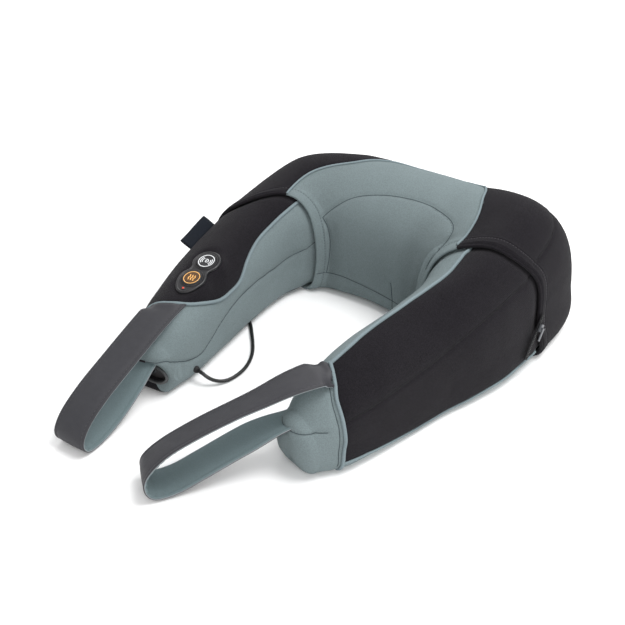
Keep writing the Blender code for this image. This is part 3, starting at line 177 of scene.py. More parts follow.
def surface_normals(s, u):
    step = 0.02
    along = surface(s + step, u) - surface(s - step, u)
    around = surface(s, u + step) - surface(s, u - step)
    normal = np.cross(along, around)
    length = np.linalg.norm(normal, axis=1, keepdims=True)
    return normal / np.maximum(length, 1e-12)


def seam_places(route, count):
    """The s and u of a smooth line through (s, u) places."""
    places = open_curve(np.array(route, float), np.linspace(0, len(route) - 1, count))
    return places[:, 0], places[:, 1]


def on_surface(route, count):
    return surface(*seam_places(route, count))


def level_seam(end, ahead, height, first, last, count=24):
    """Places of a level line across a tip's nose, from outline position first to last."""
    s = end + ahead * np.linspace(-0.9, 0.98, 190)
    route = []
    for u in np.linspace(first, last, count):
        z = surface(s, np.full(len(s), u))[:, 2]
        below = np.flatnonzero(z <= height)
        route.append((s[below[0]] if len(below) else s[-1], u))
    return route


# ------------------------------------------------------------------ seams, as (s, u) places

LEFT_PIPING = (
    (4.9, 2.50), (4.35, 2.46), (3.6, 2.42), (3.1, 2.36), (2.7, 2.14), (2.4, 1.84), (2.15, 1.80),
    (1.8, 1.90), (1.5, 2.28), (1.24, 2.80), (1.10, 3.50), (1.05, 4.20), (0.97, 4.68), (0.84, 4.98),
    (0.84, 5.6), (0.86, 6.2), (0.84, 6.6), (0.84, 7.0),
)
LEFT_TIP_SEAM = level_seam(0.0, -1, 0.044, 1.9, 5.2)
LEFT_SIDE_SEAM = ((4.9, 1.40), (4.3, 1.26), (3.5, 1.24), (2.8, 1.34), (2.2, 1.36), (1.75, 1.20), (1.40, 0.93),
                  (1.15, 0.84), (0.8, 1.0), (0.4, 1.3), LEFT_TIP_SEAM[0])
LEFT_BASE_SEAM = ((4.6, 0.20), (4.1, 0.18), (3.5, 0.20), (2.8, 0.24), (2.0, 0.26), (1.2, 0.26), (0.4, 0.26))
LEFT_OUTER_SEAM = ((0.86, 5.9), (1.4, 5.6), (2.2, 5.3), (3.0, 5.1), (3.8, 5.0))
RIGHT_RING = (
    (12.60, 3.05), (12.66, 3.30), (12.80, 3.75), (12.96, 4.22), (13.02, 4.68), (13.06, 5.20),
    (13.08, 5.75), (13.14, 6.20), (13.2, 6.6), (13.2, 7.0),
)
RIGHT_TOP_PIPING = (
    (12.62, 3.12), (12.2, 3.16), (11.7, 3.08), (11.2, 3.04), (10.6, 3.02), (10.1, 2.94), (9.6, 2.86),
    (9.3, 2.80),
)
RIGHT_SIDE_SEAM = (
    (13.04, 5.06), (12.5, 5.20), (12.0, 5.22), (11.4, 5.12), (10.8, 4.97), (10.3, 4.87), (9.8, 4.86),
    (9.4, 4.84),
)
RIGHT_TIP_SEAM = level_seam(LAST, 1, 0.050, 4.96, 1.9)
RIGHT_INNER_SEAM = ((13.5, 1.75), (13.0, 1.60), (12.4, 1.5), (11.6, 1.4), (10.6, 1.3), (9.6, 1.3))
RIGHT_NOSE_SEAM = (
    (12.84, 3.28), (12.96, 3.78), (13.09, 4.22), (13.16, 4.68), (13.2, 5.2), (13.24, 5.75), (13.3, 6.25),
    (13.34, 6.6),
)
RIGHT_BASE_PIPING = (
    (13.15, 6.52), (12.5, 6.62), (12.0, 6.70), (11.4, 6.76), (10.8, 6.76), (10.2, 6.70), (9.7, 6.66),
)
COVER_PIPING = (
    (4.29, 2.88), (4.5, 2.96), (4.78, 3.04), (5.2, 3.16), (5.6, 3.30), (6.0, 3.50), (6.4, 3.86),
    (6.8, 4.14), (7.3, 4.28), (7.8, 4.28), (8.12, 4.16), (8.32, 3.80), (8.48, 3.44), (8.66, 3.16),
    (8.88, 2.88), (9.10, 2.68), (9.30, 2.56),
)
COVER_ARCH = (
    (5.20, 1.90), (5.70, 2.16), (6.04, 2.36), (6.40, 2.54), (6.9, 2.72), (7.4, 2.79), (7.9, 2.79),
    (8.3, 2.72), (8.6, 2.60), (8.80, 2.40), (8.90, 2.10), (8.92, 1.70),
)
COVER_LEFT_RISER = ((5.20, 1.90), (5.40, 1.70), (5.50, 1.42), (5.46, 1.08), (5.34, 0.74))
COVER_LOW_SEAM = (
    (4.86, 0.70), (5.34, 0.73), (6.0, 0.72), (6.5, 0.68), (7.0, 0.64), (7.6, 0.62), (8.2, 0.62),
    (8.8, 0.66), (9.3, 0.7),
)
COVER_RIGHT_RISER = ((7.44, 1.00), (7.52, 0.78), (7.60, 0.60), (7.64, 0.30))
COVER_OUTER_SEAM = (
    (9.60, 4.62), (9.30, 4.52), (9.05, 4.46), (8.8, 4.50), (8.5, 4.66), (8.0, 4.80), (7.2, 4.86),
    (6.2, 4.86), (5.2, 4.86), (4.4, 4.80), (3.6, 4.72),
)


# ------------------------------------------------------------------ materials

def linear(red, green, blue):
    """A colour given as it looks, from 0 to 255, as the shader wants it."""
    result = []
    for value in (red, green, blue):
        value /= 255.0
        result.append(value / 12.92 if value <= 0.04045 else ((value + 0.055) / 1.055) ** 2.4)
    return (*result, 1.0)


def scaled(colour, factor):
    return (*[min(channel * factor, 1.0) for channel in colour[:3]], 1.0)


class Finish:
    """A Principled material with small helpers for its pattern nodes."""

    def __init__(self, name, colour, roughness, metallic=0.0, **sockets):
        self.material = bpy.data.materials.new(name)
        self.material.use_nodes = True
        self.nodes = self.material.node_tree.nodes
        self.links = self.material.node_tree.links
        self.shader = self.nodes["Principled BSDF"]
        self.shader.inputs["Base Color"].default_value = colour
        self.shader.inputs["Roughness"].default_value = roughness
        self.shader.inputs["Metallic"].default_value = metallic
        for key, value in sockets.items():
            self.shader.inputs[key.replace("_", " ")].default_value = value
        self.colour = colour
        self.coordinates = self.nodes.new("ShaderNodeTexCoord")
        self.last_bump = None

    def noise(self, scale, detail=2.0, stretch=None):
        node = self.nodes.new("ShaderNodeTexNoise")
        node.inputs["Scale"].default_value = scale
        node.inputs["Detail"].default_value = detail
        self.links.new(self.place(stretch), node.inputs["Vector"])
        return node.outputs["Fac"]

    def cell_edges(self, scale):
        node = self.nodes.new("ShaderNodeTexVoronoi")
        node.feature = 'DISTANCE_TO_EDGE'
        node.inputs["Scale"].default_value = scale
        self.links.new(self.place(None), node.inputs["Vector"])
        return node.outputs["Distance"]

    def place(self, stretch):
        socket = self.coordinates.outputs["Object"]
        if stretch is None:
            return socket
        mapping = self.nodes.new("ShaderNodeMapping")
        mapping.inputs["Scale"].default_value = stretch
        self.links.new(socket, mapping.inputs["Vector"])
        return mapping.outputs["Vector"]

    def math(self, operation, first, second):
        node = self.nodes.new("ShaderNodeMath")
        node.operation = operation
        for socket, value in zip(node.inputs, (first, second)):
            if isinstance(value, (int, float)):
                socket.default_value = value
            else:
                self.links.new(value, socket)
        return node.outputs[0]

    def knit(self, pitch):
        """Height of a plain knit: rows of V-shaped stitches, on the mesh's UV map, which is in metres."""
        separate = self.nodes.new("ShaderNodeSeparateXYZ")
        self.links.new(self.coordinates.outputs["UV"], separate.inputs[0])
        across = self.math('MULTIPLY', separate.outputs["X"], 2 * math.pi / pitch)
        along = self.math('MULTIPLY', separate.outputs["Y"], 2 * math.pi / (pitch * 0.8))
        wale = self.math('ABSOLUTE', self.math('SINE', self.math('MULTIPLY', across, 0.5), 0.0), 0.0)
        slant = self.math('SINE', self.math('ADD', along, self.math('MULTIPLY', wale, 2.4)), 0.0)
        return self.math('ADD', self.math('MULTIPLY', wale, 0.6), self.math('MULTIPLY', slant, 0.4))

    def tint(self, pattern, low, high, spread):
        """Mixes the colour between low and high times itself as the pattern goes across spread about 0.5."""
        ramp = self.nodes.new("ShaderNodeValToRGB")
        ramp.color_ramp.elements[0].position = 0.5 - spread
        ramp.color_ramp.elements[1].position = 0.5 + spread
        ramp.color_ramp.elements[0].color = scaled(self.colour, low)
        ramp.color_ramp.elements[1].color = scaled(self.colour, high)
        self.links.new(pattern, ramp.inputs["Fac"])
        return ramp.outputs["Color"]

    def blend_colours(self, first, second, share):
        node = self.nodes.new("ShaderNodeMix")
        node.data_type = 'RGBA'
        node.inputs["Factor"].default_value = share
        self.links.new(first, node.inputs["A"])
        self.links.new(second, node.inputs["B"])
        return node.outputs["Result"]

    def set_colour(self, colour):
        self.links.new(colour, self.shader.inputs["Base Color"])
        return self

    def vary_roughness(self, pattern, low, high):
        node = self.nodes.new("ShaderNodeMapRange")
        node.inputs["From Min"].default_value = 0.3
        node.inputs["From Max"].default_value = 0.7
        node.inputs["To Min"].default_value = low
        node.inputs["To Max"].default_value = high
        self.links.new(pattern, node.inputs["Value"])
        self.links.new(node.outputs["Result"], self.shader.inputs["Roughness"])
        return self

    def bump(self, height, distance, strength=1.0):
        node = self.nodes.new("ShaderNodeBump")
        node.inputs["Distance"].default_value = distance
        node.inputs["Strength"].default_value = strength
        self.links.new(height, node.inputs["Height"])
        if self.last_bump is not None:
            self.links.new(self.last_bump, node.inputs["Normal"])
        self.last_bump = node.outputs["Normal"]
        self.links.new(self.last_bump, self.shader.inputs["Normal"])
        return self


def knit_fabric(name, colour, fleck, knitted=True):
    """Brushed jersey: fine knit, a little heather from stray fibres, and a soft sheen."""
    finish = Finish(name, colour, 0.92, Sheen_Weight=0.04, Sheen_Roughness=0.5, Specular_IOR_Level=0.12)
    fibres = finish.tint(finish.noise(900.0, 4.0), 1 - fleck, 1 + fleck, 0.14)
    cloud = finish.tint(finish.noise(38.0, 4.0), 1 - fleck * 0.35, 1 + fleck * 0.35, 0.2)
    finish.set_colour(finish.blend_colours(fibres, cloud, 0.4))
    if knitted:
        finish.bump(finish.knit(0.0011), 0.00022)
    finish.bump(finish.noise(1100.0, 2.0), 0.00016)
    finish.bump(finish.noise(120.0, 3.0), 0.0005, 0.5)
    return finish.material


def leather(name, colour):
    finish = Finish(name, colour, 0.5, Specular_IOR_Level=0.3)
    grain = finish.cell_edges(900.0)
    finish.set_colour(finish.tint(finish.noise(160.0, 4.0), 0.94, 1.06, 0.2))
    finish.vary_roughness(finish.noise(60.0, 4.0), 0.50, 0.62)
    finish.bump(grain, 0.00012)
    finish.bump(finish.noise(1400.0, 2.0), 0.00006)
    return finish.material


def plastic(name, colour, roughness, grain=0.00004, spread=0.08, **sockets):
    finish = Finish(name, colour, roughness, **sockets)
    finish.set_colour(finish.tint(finish.noise(70.0, 4.0), 1 - spread, 1 + spread, 0.2))
    finish.vary_roughness(finish.noise(240.0, 3.0), roughness * 0.85, min(roughness * 1.15, 1.0))
    finish.bump(finish.noise(2200.0, 2.0), grain)
    return finish.material


def metal(name, colour, roughness, brushed=(1.0, 1.0, 1.0)):
    finish = Finish(name, colour, roughness, metallic=1.0)
    streaks = finish.noise(700.0, 3.0, stretch=brushed)
    finish.set_colour(finish.tint(finish.noise(90.0, 3.0), 0.9, 1.08, 0.2))
    finish.vary_roughness(streaks, roughness * 0.75, roughness * 1.3)
    finish.bump(streaks, 0.00003)
    return finish.material


GREY = linear(116, 128, 130)
BLACK = linear(27, 25, 29)
MATERIALS = {}
for name, make, *look in (
    ("grey_knit", knit_fabric, GREY, 0.16),
    ("black_knit", knit_fabric, BLACK, 0.5),
    ("grey_piping", knit_fabric, linear(116, 129, 133), 0.12, False),
    ("black_piping", knit_fabric, linear(38, 36, 40), 0.2, False),
    ("grey_lining", knit_fabric, linear(110, 125, 128), 0.10),
    ("grey_thread", plastic, linear(84, 95, 98), 0.75),
    ("black_thread", plastic, linear(62, 60, 64), 0.7),
    ("seam_shadow_grey", plastic, linear(62, 72, 75), 0.95),
    ("seam_shadow_black", plastic, linear(14, 13, 15), 0.95),
    ("strap_leather", leather, linear(51, 51, 55)),
    ("strap_edge", plastic, linear(128, 134, 137), 0.6),
    ("tag_cloth", knit_fabric, linear(22, 26, 33), 0.25, False),
    ("tag_border", plastic, linear(60, 72, 84), 0.7),
    ("gloss_black", plastic, linear(24, 23, 26), 0.42, 0.00001, 0.04),
    ("satin_black", plastic, linear(33, 32, 34), 0.38, 0.00003),
    ("rim_plastic", plastic, linear(58, 60, 61), 0.34, 0.00003),
    ("well_floor", plastic, linear(34, 32, 33), 0.6, 0.0003, 0.3),
    ("symbol_white", plastic, linear(232, 234, 236), 0.35, 0.00001, 0.02),
    ("heat_disc", plastic, linear(74, 46, 12), 0.4, 0.00001, 0.12),
    ("heat_ring", plastic, linear(238, 178, 96), 0.35, 0.00001, 0.04),
    ("cord_black", plastic, linear(18, 18, 19), 0.36, 0.00002),
    ("rubber_black", plastic, linear(22, 22, 23), 0.7, 0.00005),
    ("zip_coil", plastic, linear(26, 26, 28), 0.35, 0.00002),
    ("zip_cloth", knit_fabric, linear(20, 20, 22), 0.2, False),
    ("nickel", metal, linear(96, 98, 102), 0.34),
    ("steel", metal, linear(176, 178, 182), 0.3, (1.0, 12.0, 1.0)),
    ("brass", metal, linear(206, 170, 92), 0.28),
    ("bronze", metal, linear(150, 112, 70), 0.45),
    ("circuit_board", plastic, linear(24, 92, 52), 0.45, 0.00006, 0.2),
    ("case_grey", plastic, linear(142, 144, 147), 0.5, 0.00006),
    ("white_plastic", plastic, linear(222, 222, 218), 0.42),
    ("acetal", plastic, linear(230, 227, 214), 0.4),
    ("node_grey", plastic, linear(120, 123, 126), 0.4),
    ("foam", plastic, linear(222, 219, 204), 0.95, 0.0012, 0.1),
    ("lamp_red", plastic, linear(190, 60, 44), 0.2, 0.0, 0.1),
):
    MATERIALS[name] = make(name, *look)
lamp_shader = MATERIALS["lamp_red"].node_tree.nodes["Principled BSDF"]
lamp_shader.inputs["Emission Color"].default_value = linear(220, 90, 66)
lamp_shader.inputs["Emission Strength"].default_value = 0.35


# ------------------------------------------------------------------ mesh helpers

def show(name, data):
    item = bpy.data.objects.new(name, data)
    bpy.context.scene.collection.objects.link(item)
    return item


def add_mesh(name, vertices, faces, materials, body="collar", slots=None, uv=None):
    mesh = bpy.data.meshes.new(name)
    mesh.from_pydata([tuple(map(float, vertex)) for vertex in vertices], [], faces)
    for material in materials:
        mesh.materials.append(MATERIALS[material])
    if slots is not None:
        mesh.polygons.foreach_set("material_index", np.asarray(slots, np.int32))
    if uv is not None:
        layer = mesh.uv_layers.new(name="cloth")
        corners = np.zeros(len(mesh.loops), np.int32)
        mesh.loops.foreach_get("vertex_index", corners)
        layer.data.foreach_set("uv", np.asarray(uv, np.float32)[corners].ravel())
    mesh.update()
    mesh.shade_smooth()
    item = show(name, mesh)
    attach(item, body)
    return item


def end_caps(rows, count):
    """The two faces that shut a tube of rows, each of count points."""
    return [tuple(range(count))[::-1], tuple((rows - 1) * count + k for k in range(count))]


def tube_faces(rows, count, base=0):
    """Sides and ends of a tube whose first point has number base."""
    faces = grid_faces(rows, count) + end_caps(rows, count)
    return [tuple(base + k for k in face) for face in faces]


def grid_faces(rows, columns, close_columns=True, flip=False):
    """Quads of a grid whose vertices run row by row."""
    faces = []
    last = columns if close_columns else columns - 1
    for i in range(rows - 1):
        for j in range(last):
            k = (j + 1) % columns
            face = (i * columns + j, i * columns + k, (i + 1) * columns + k, (i + 1) * columns + j)
            faces.append(face[::-1] if flip else face)
    return faces


def frames_along(points, up=None):
    """Unit side and lift vectors at each point of a line."""
    points = np.asarray(points, float)
    along = np.gradient(points, axis=0)
    along /= np.maximum(np.linalg.norm(along, axis=1, keepdims=True), 1e-12)
    reference = np.tile((0.0, 0.0, 1.0), (len(points), 1)) if up is None else np.asarray(up, float)
    steep = np.abs((along * reference).sum(axis=1)) > 0.97
    reference = np.where(steep[:, None], np.array((0.31, 0.95, 0.0)), reference)
    side = np.cross(along, reference)
    side /= np.maximum(np.linalg.norm(side, axis=1, keepdims=True), 1e-12)
    return side, np.cross(side, along)


def swept(name, points, outline, material, body="collar", up=None):
    """An outline of (side, lift) offsets swept along points, with its ends shut."""
    points = np.asarray(points, float)
    side, lift = frames_along(points, up)
    outline = np.asarray(outline, float)
    rings = []
    for i, point in enumerate(points):
        rings.append(point + side[i] * outline[:, :1] + lift[i] * outline[:, 1:])
    item = add_mesh(name, np.concatenate(rings), tube_faces(len(rings), len(outline)), [material], body)
    fix_normals(item)
    return item


def fix_normals(item):
    builder = bmesh.new()
    builder.from_mesh(item.data)
    bmesh.ops.recalc_face_normals(builder, faces=builder.faces)
    builder.to_mesh(item.data)
    builder.free()
    item.data.shade_smooth()


def sharpen(item, angle=35.0):
    item.data.shade_smooth()
    item.data.set_sharp_from_angle(angle=math.radians(angle))
    return item


def circle_outline(radius, steps):
    angles = 2 * np.pi * np.arange(steps) / steps
    return np.column_stack((radius * np.cos(angles), radius * np.sin(angles)))


def travelled_along(points):
    """Distance from the first point to each point of a line."""
    steps = np.linalg.norm(np.diff(points, axis=0), axis=1)
    return np.concatenate(([0.0], np.cumsum(steps)))


def resample(points, spacing):
    """Points evenly spaced along a line, about spacing apart."""
    points = np.asarray(points, float)
    travelled = travelled_along(points)
    count = max(int(travelled[-1] / spacing), 3)
    wanted = np.linspace(0, travelled[-1], count)
    return np.column_stack([np.interp(wanted, travelled, points[:, k]) for k in range(3)])


STITCH_SHAPE = ((0.0, 0.35, -0.6), (0.2, 1.0, 0.35), (0.8, 1.0, 0.35), (1.0, 0.35, -0.6))  # share, size, lift
STITCH_SIDES = 6


def stitches(name, points, normals, material, length=0.0021, gap=0.0011, radius=0.00028):
    """A row of short thread stitches along a line on a surface, all in one mesh."""
    points = np.asarray(points, float)
    travelled = travelled_along(points)

    def at(distance, rows):
        return np.array([np.interp(distance, travelled, rows[:, k]) for k in range(3)])

    vertices = []
    faces = []
    start = gap
    while start + length < travelled[-1]:
        normal = at(start + length / 2, normals)
        normal /= np.linalg.norm(normal)
        ahead = at(start + length, points) - at(start, points)
        ahead /= np.linalg.norm(ahead)
        side = np.cross(ahead, normal)
        base = len(vertices)
        for share, size, lift in STITCH_SHAPE:
            point = at(start + length * share, points)
            for k in range(STITCH_SIDES):
                angle = 2 * math.pi * k / STITCH_SIDES
                offset = side * math.cos(angle) * 1.25 + normal * math.sin(angle)
                vertices.append(point + normal * radius * lift + offset * radius * size)
        faces += tube_faces(len(STITCH_SHAPE), STITCH_SIDES, base)
        start += length + gap
    return add_mesh(name, vertices, faces, [material])


# ------------------------------------------------------------------ skins

def near(points, line):
    """Distance of each point to a line of points."""
    best = np.full(len(points), 1e9)
    line = np.asarray(line)
    for first, second in zip(line, line[1:]):
        step = second - first
        length = float(step @ step)
        if length < 1e-14:
            continue
        share = np.clip(((points - first) @ step) / length, 0, 1)
        gap = points - first - share[:, None] * step
        best = np.minimum(best, (gap * gap).sum(axis=1))
    return np.sqrt(best)


def ripple(points, scale, seed):
    """Smooth noise about 0 at each point."""
    shift = Vector((seed * 7.3, seed * 3.1, seed * 1.7))
    return np.array([noise.noise(Vector(point) * scale + shift) for point in points])


def inside(s, u, polygon):
    """Which (s, u) places lie inside a polygon of such places."""
    result = np.zeros(len(s), bool)
    polygon = list(polygon)
    for (s0, u0), (s1, u1) in zip(polygon, polygon[1:] + polygon[:1]):
        crosses = (u0 > u) != (u1 > u)
        with np.errstate(divide='ignore', invalid='ignore'):
            reach = s0 + (u - u0) * (s1 - s0) / (u1 - u0)
        result ^= crosses & (s < reach)
    return result


def smooth_step(low, high, value):
    share = np.clip((value - low) / (high - low), 0, 1)
    return share * share * (3 - 2 * share)


SEAM_PINCH = 0.0010
SEAM_WIDTH = 0.0020
PANEL_CROWN = 0.0011
CROWN_REACH = 0.016
SOFTNESS = 0.0006  # depth of a skin's uneven swell
HELD_BESIDE_SEAM = 0.0035  # the blown cloth is held this far to each side of a seam
SKIN_CLEARANCE = 0.0002  # above the floor
SEAM_CLEARANCE = 0.0004


def nearest_line(points, lines):
    """Distance of each point to the nearest of several lines."""
    return np.min([near(points, line) for line in lines], axis=0)


def skin_lift(points, lines, seed):
    """How far a padded skin stands off the plain surface: crowned panels pulled in at their seams."""
    closest = nearest_line(points, lines)
    lift = PANEL_CROWN * (1 - np.exp(-closest / CROWN_REACH))
    lift -= SEAM_PINCH * np.exp(-(closest / SEAM_WIDTH) ** 2)
    lift += SOFTNESS * ripple(points, 22.0, seed) + SOFTNESS * 0.4 * ripple(points, 60.0, seed + 5)
    return lift


# ------------------------------------------------------------------ places of the trim

class Place:
    """A local frame: columns of axes are its X, Y and Z in the row frame, and centre is its origin."""

    def __init__(self, origin, axes):
        self.centre = np.asarray(origin, float) - ORIGIN
        self.axes = np.column_stack([np.asarray(axis, float) / np.linalg.norm(axis) for axis in axes])

    def out(self, points):
        return np.asarray(points, float) @ self.axes.T + self.centre

    def local(self, points):
        return (points - self.centre) @ self.axes

    @property
    def normal(self):
        return self.axes[:, 2]


POD_NORMAL = np.array((-0.04, -0.19, 0.98))
POD_ALONG = np.array((-0.13, 0.98, 0.0))
POD_ACROSS = np.cross(POD_ALONG, POD_NORMAL)
POD = Place((-0.0958, -0.0598, 0.0905), (POD_ACROSS, np.cross(POD_NORMAL, POD_ACROSS), POD_NORMAL))
BUTTON_HALF_SPACING = 0.0128
BUTTON_RADIUS = 0.0104
BEZEL_RADIUS = 0.0148
BEZEL_WAIST = 0.0108
BEZEL_TAIL = 0.0062
LAMP_Y = -BUTTON_HALF_SPACING - BUTTON_RADIUS - 0.0046

PORT_NORMAL = np.array((0.215, -0.95, 0.0))
PORT_ACROSS = np.cross((0.0, 0.0, 1.0), PORT_NORMAL)
PORT = Place((-0.0780, -0.1478, 0.0240), (PORT_ACROSS, (0.0, 0.0, 1.0), PORT_NORMAL))
PORT_HALF_WIDTH = 0.0155
PORT_HALF_HEIGHT = 0.0105

TUCK_REACH = 0.008  # how far round a rim the fabric is drawn in to meet it


def outside_pod(x, y):
    """Distance outside the control panel's outline, below 0 inside it."""
    tail = np.minimum(y + BEZEL_TAIL, np.maximum(y, -BUTTON_HALF_SPACING))
    y = np.where(y < -BUTTON_HALF_SPACING, tail, y)
    share = np.clip(y, -BUTTON_HALF_SPACING, BUTTON_HALF_SPACING)
    radius = BEZEL_WAIST + (BEZEL_RADIUS - BEZEL_WAIST) * (np.abs(share) / BUTTON_HALF_SPACING) ** 1.4
    return np.hypot(x, y - share) - radius


def outside_port(x, y):
    reach = np.hypot(x / (PORT_HALF_WIDTH + 0.0016), y / (PORT_HALF_HEIGHT + 0.0016))
    return (reach - 1) * PORT_HALF_HEIGHT


def tuck_under(points, place, outside, depth, hidden_from):
    """Draws points in to meet a rim, and says which of them lie so far under it that they are left out."""
    local = place.local(points)
    distance = outside(local[:, 0], local[:, 1])
    close = (distance < TUCK_REACH) & (np.abs(local[:, 2]) < 0.016)
    share = smooth_step(0.0, TUCK_REACH, distance)
    local[close, 2] = (depth * (1 - share) + local[:, 2] * share)[close]
    return place.out(local), close & (distance < hidden_from)


# ------------------------------------------------------------------ padded skins, blown up as cloth

CLOTH_STEP = 3  # the cloth has every third row and column of the skin that it shapes
CLOTH_FRAMES = 20
CLOTH_PRESSURE = 4.0
CLOTH_CAP = 0.0030


def cloth_puff(points, rows, columns, held):
    """How each point moves when the skin is blown up as cloth that is held along its seams."""
    grid = points.reshape(rows, columns, 3)
    picked = np.unique(np.append(np.arange(0, rows, CLOTH_STEP), rows - 1))
    coarse = grid[picked][:, ::CLOTH_STEP]
    held = held.reshape(rows, columns)
    fixed = np.zeros(coarse.shape[:2], bool)
    for i, row in enumerate(picked):
        for j in range(coarse.shape[1]):
            first = j * CLOTH_STEP
            fixed[i, j] = held[max(row - 1, 0):row + 2, max(first - 1, 0):first + 2].any()
    fixed[0] = fixed[-1] = True
    count = coarse.shape[1]
    faces = [face[::-1] for face in tube_faces(len(picked), count)]
    mesh = bpy.data.meshes.new("blown_cloth")
    start = coarse.reshape(-1, 3)
    mesh.from_pydata([tuple(point) for point in start], [], faces)
    item = show("blown_cloth", mesh)
    group = item.vertex_groups.new(name="held")
    group.add([int(k) for k in np.flatnonzero(fixed.ravel())], 1.0, 'REPLACE')
    modifier = item.modifiers.new("cloth", 'CLOTH')
    modifier.settings.quality = 5
    modifier.settings.use_pressure = True
    modifier.settings.uniform_pressure_force = CLOTH_PRESSURE
    modifier.settings.vertex_group_mass = "held"
    modifier.settings.effector_weights.gravity = 0.0
    modifier.collision_settings.use_collision = False
    modifier.point_cache.frame_end = CLOTH_FRAMES
    scene = bpy.context.scene
    for number in range(1, CLOTH_FRAMES + 1):
        scene.frame_set(number)
    depsgraph = bpy.context.evaluated_depsgraph_get()
    settled = np.zeros(len(start) * 3)
    item.evaluated_get(depsgraph).data.vertices.foreach_get("co", settled)
    scene.frame_set(1)
    bpy.data.objects.remove(item)
    moved = settled.reshape(-1, 3) - start
    length = np.linalg.norm(moved, axis=1, keepdims=True)
    moved *= np.minimum(1.0, CLOTH_CAP / np.maximum(length, 1e-9))
    moved = moved.reshape(len(picked), count, 3)
    looped = np.concatenate((moved, moved[:, :1]), axis=1)
    across = np.arange(columns) / CLOTH_STEP
    known = np.arange(count + 1)
    wide = np.stack([[np.interp(across, known, row[:, k]) for k in range(3)] for row in looped])
    full = np.zeros((rows, columns, 3))
    for j in range(columns):
        for k in range(3):
            full[:, j, k] = np.interp(np.arange(rows), picked, wide[:, k, j])
    return full.reshape(-1, 3)


class Skin:
    """A fabric skin over the collar. lift(s, u) is how far it stands off the collar's plain surface."""

    closed = True  # whether the skin's two ends are shut

    def __init__(self, routes, seed):
        self.lines = [on_surface(route, 12 * len(route)) for route in routes]
        self.seed = seed

    def extra(self, s, u):
        return 0.0

    def lift(self, s, u):
        return skin_lift(surface(s, u), self.lines, self.seed) + self.extra(s, u)

    def line(self, route, spacing=0.0012, lift=0.0):
        """Points of a seam on this skin, with the skin's normals there."""
        s, u = seam_places(route, 14 * len(route))
        normals = surface_normals(s, u)
        points = surface(s, u) + normals * self.lift(s, u)[:, None]
        points = np.array([self.tree.find_nearest(Vector(point))[0] for point in points]) + normals * lift
        points[:, 2] = np.maximum(points[:, 2], SEAM_CLEARANCE + lift)
        even = resample(points, spacing)
        travelled = travelled_along(points)
        wanted = np.linspace(0, travelled[-1], len(even))
        return even, np.column_stack([np.interp(wanted, travelled, normals[:, k]) for k in range(3)])

    def build(self, name, s, u, rows, columns, regions, materials, shape=None, lift=None):
        if lift is None:
            lift = self.lift(s, u)
        flat = surface(s, u)
        points = flat + surface_normals(s, u) * lift[:, None]
        beside_seam = nearest_line(flat, self.lines) < HELD_BESIDE_SEAM
        points += cloth_puff(points, rows, columns, beside_seam | self.held(s, u))
        hidden = np.zeros(len(points), bool)
        if shape is not None:
            points, hidden = shape(points)
        points[:, 2] = np.maximum(points[:, 2], SKIN_CLEARANCE)
        faces = np.array(grid_faces(rows, columns, flip=True))
        wrapped = u[faces]
        middle_u = np.where(np.ptp(wrapped, axis=1) > 4, 7.99, wrapped.mean(axis=1))
        slots = regions(s[faces].mean(axis=1), middle_u)
        kept = ~hidden[faces].all(axis=1)
        caps = [face[::-1] for face in end_caps(rows, columns)] if self.closed else []
        grid = flat.reshape(rows, columns, 3)
        row_steps = np.linalg.norm(np.diff(grid, axis=0, prepend=grid[:1]), axis=2)
        column_steps = np.linalg.norm(np.diff(grid, axis=1, prepend=grid[:, :1]), axis=2)
        along = np.cumsum(row_steps, axis=0).mean(axis=1)
        around = np.cumsum(column_steps, axis=1).mean(axis=0)
        uv = np.column_stack((np.tile(around, rows), np.repeat(along, columns)))
        quads = [tuple(face) for face in faces[kept].tolist()]
        slots = np.append(slots[kept], [0] * len(caps))
        self.tree = BVHTree.FromPolygons(points.tolist(), quads)
        return add_mesh(name, points, quads + caps, materials, slots=slots, uv=uv)

    def held(self, s, u):
        return np.zeros(len(s), bool)


def station_length(s, u):
    """Metres to one station along the surface at each place."""
    return np.linalg.norm(surface(s + 0.1, u) - surface(s - 0.1, u), axis=1) / 0.2


TUCK_DEPTH = -0.0046  # the arms' skins under the cover
NOSE_ANGLES = (6, 12, 18, 25, 32, 40, 48, 56, 63, 69, 74, 78.5, 82, 85, 87, 88.6, 89.6, 89.92)
ARM_ROWS = 116
ARM_COLUMNS = 150
COVER_ROWS = 150
COVER_COLUMNS = 200


class ArmSkin(Skin):
    def __init__(self, routes, seed, hem, ahead):
        super().__init__(routes, seed)
        self.hem = hem
        self.ahead = ahead  # 1 where stations grow from the tip to the hem, -1 where they fall

    def extra(self, s, u):
        hem = hem_station(self.hem, u)
        past = (s - hem) * self.ahead * station_length(hem, u)
        return TUCK_DEPTH * smooth_step(-0.012, 0.004, past)

    def held(self, s, u):
        return (s - hem_station(self.hem, u)) * self.ahead > -0.08

    def grid(self):
        tip = 0.0 if self.ahead > 0 else LAST
        u = np.arange(ARM_COLUMNS) * 8 / ARM_COLUMNS
        inner_end = hem_station(self.hem, u) + 0.35 * self.ahead
        rows = [np.full(ARM_COLUMNS, tip - self.ahead * angle / 90) for angle in NOSE_ANGLES[::-1]]
        rows += [tip + (inner_end - tip) * t for t in np.linspace(0, 1, ARM_ROWS)]
        if self.ahead < 0:
            rows = rows[::-1]
        return np.concatenate(rows), np.tile(u, len(rows)), len(rows), ARM_COLUMNS


def black_left(s, u):
    panel = [*LEFT_PIPING, (5.6, 7.0), (5.6, 2.4)]
    base = ((u > 6.84) | (u < 0.16)) & (s < 0.5)
    return (inside(s, u, panel) | base).astype(int)


def black_right(s, u):
    panel = [*RIGHT_TOP_PIPING[::-1], *RIGHT_RING[:-2], *RIGHT_BASE_PIPING, (9.0, 6.6), (9.0, 2.8)]
    return inside(s, u, panel).astype(int)


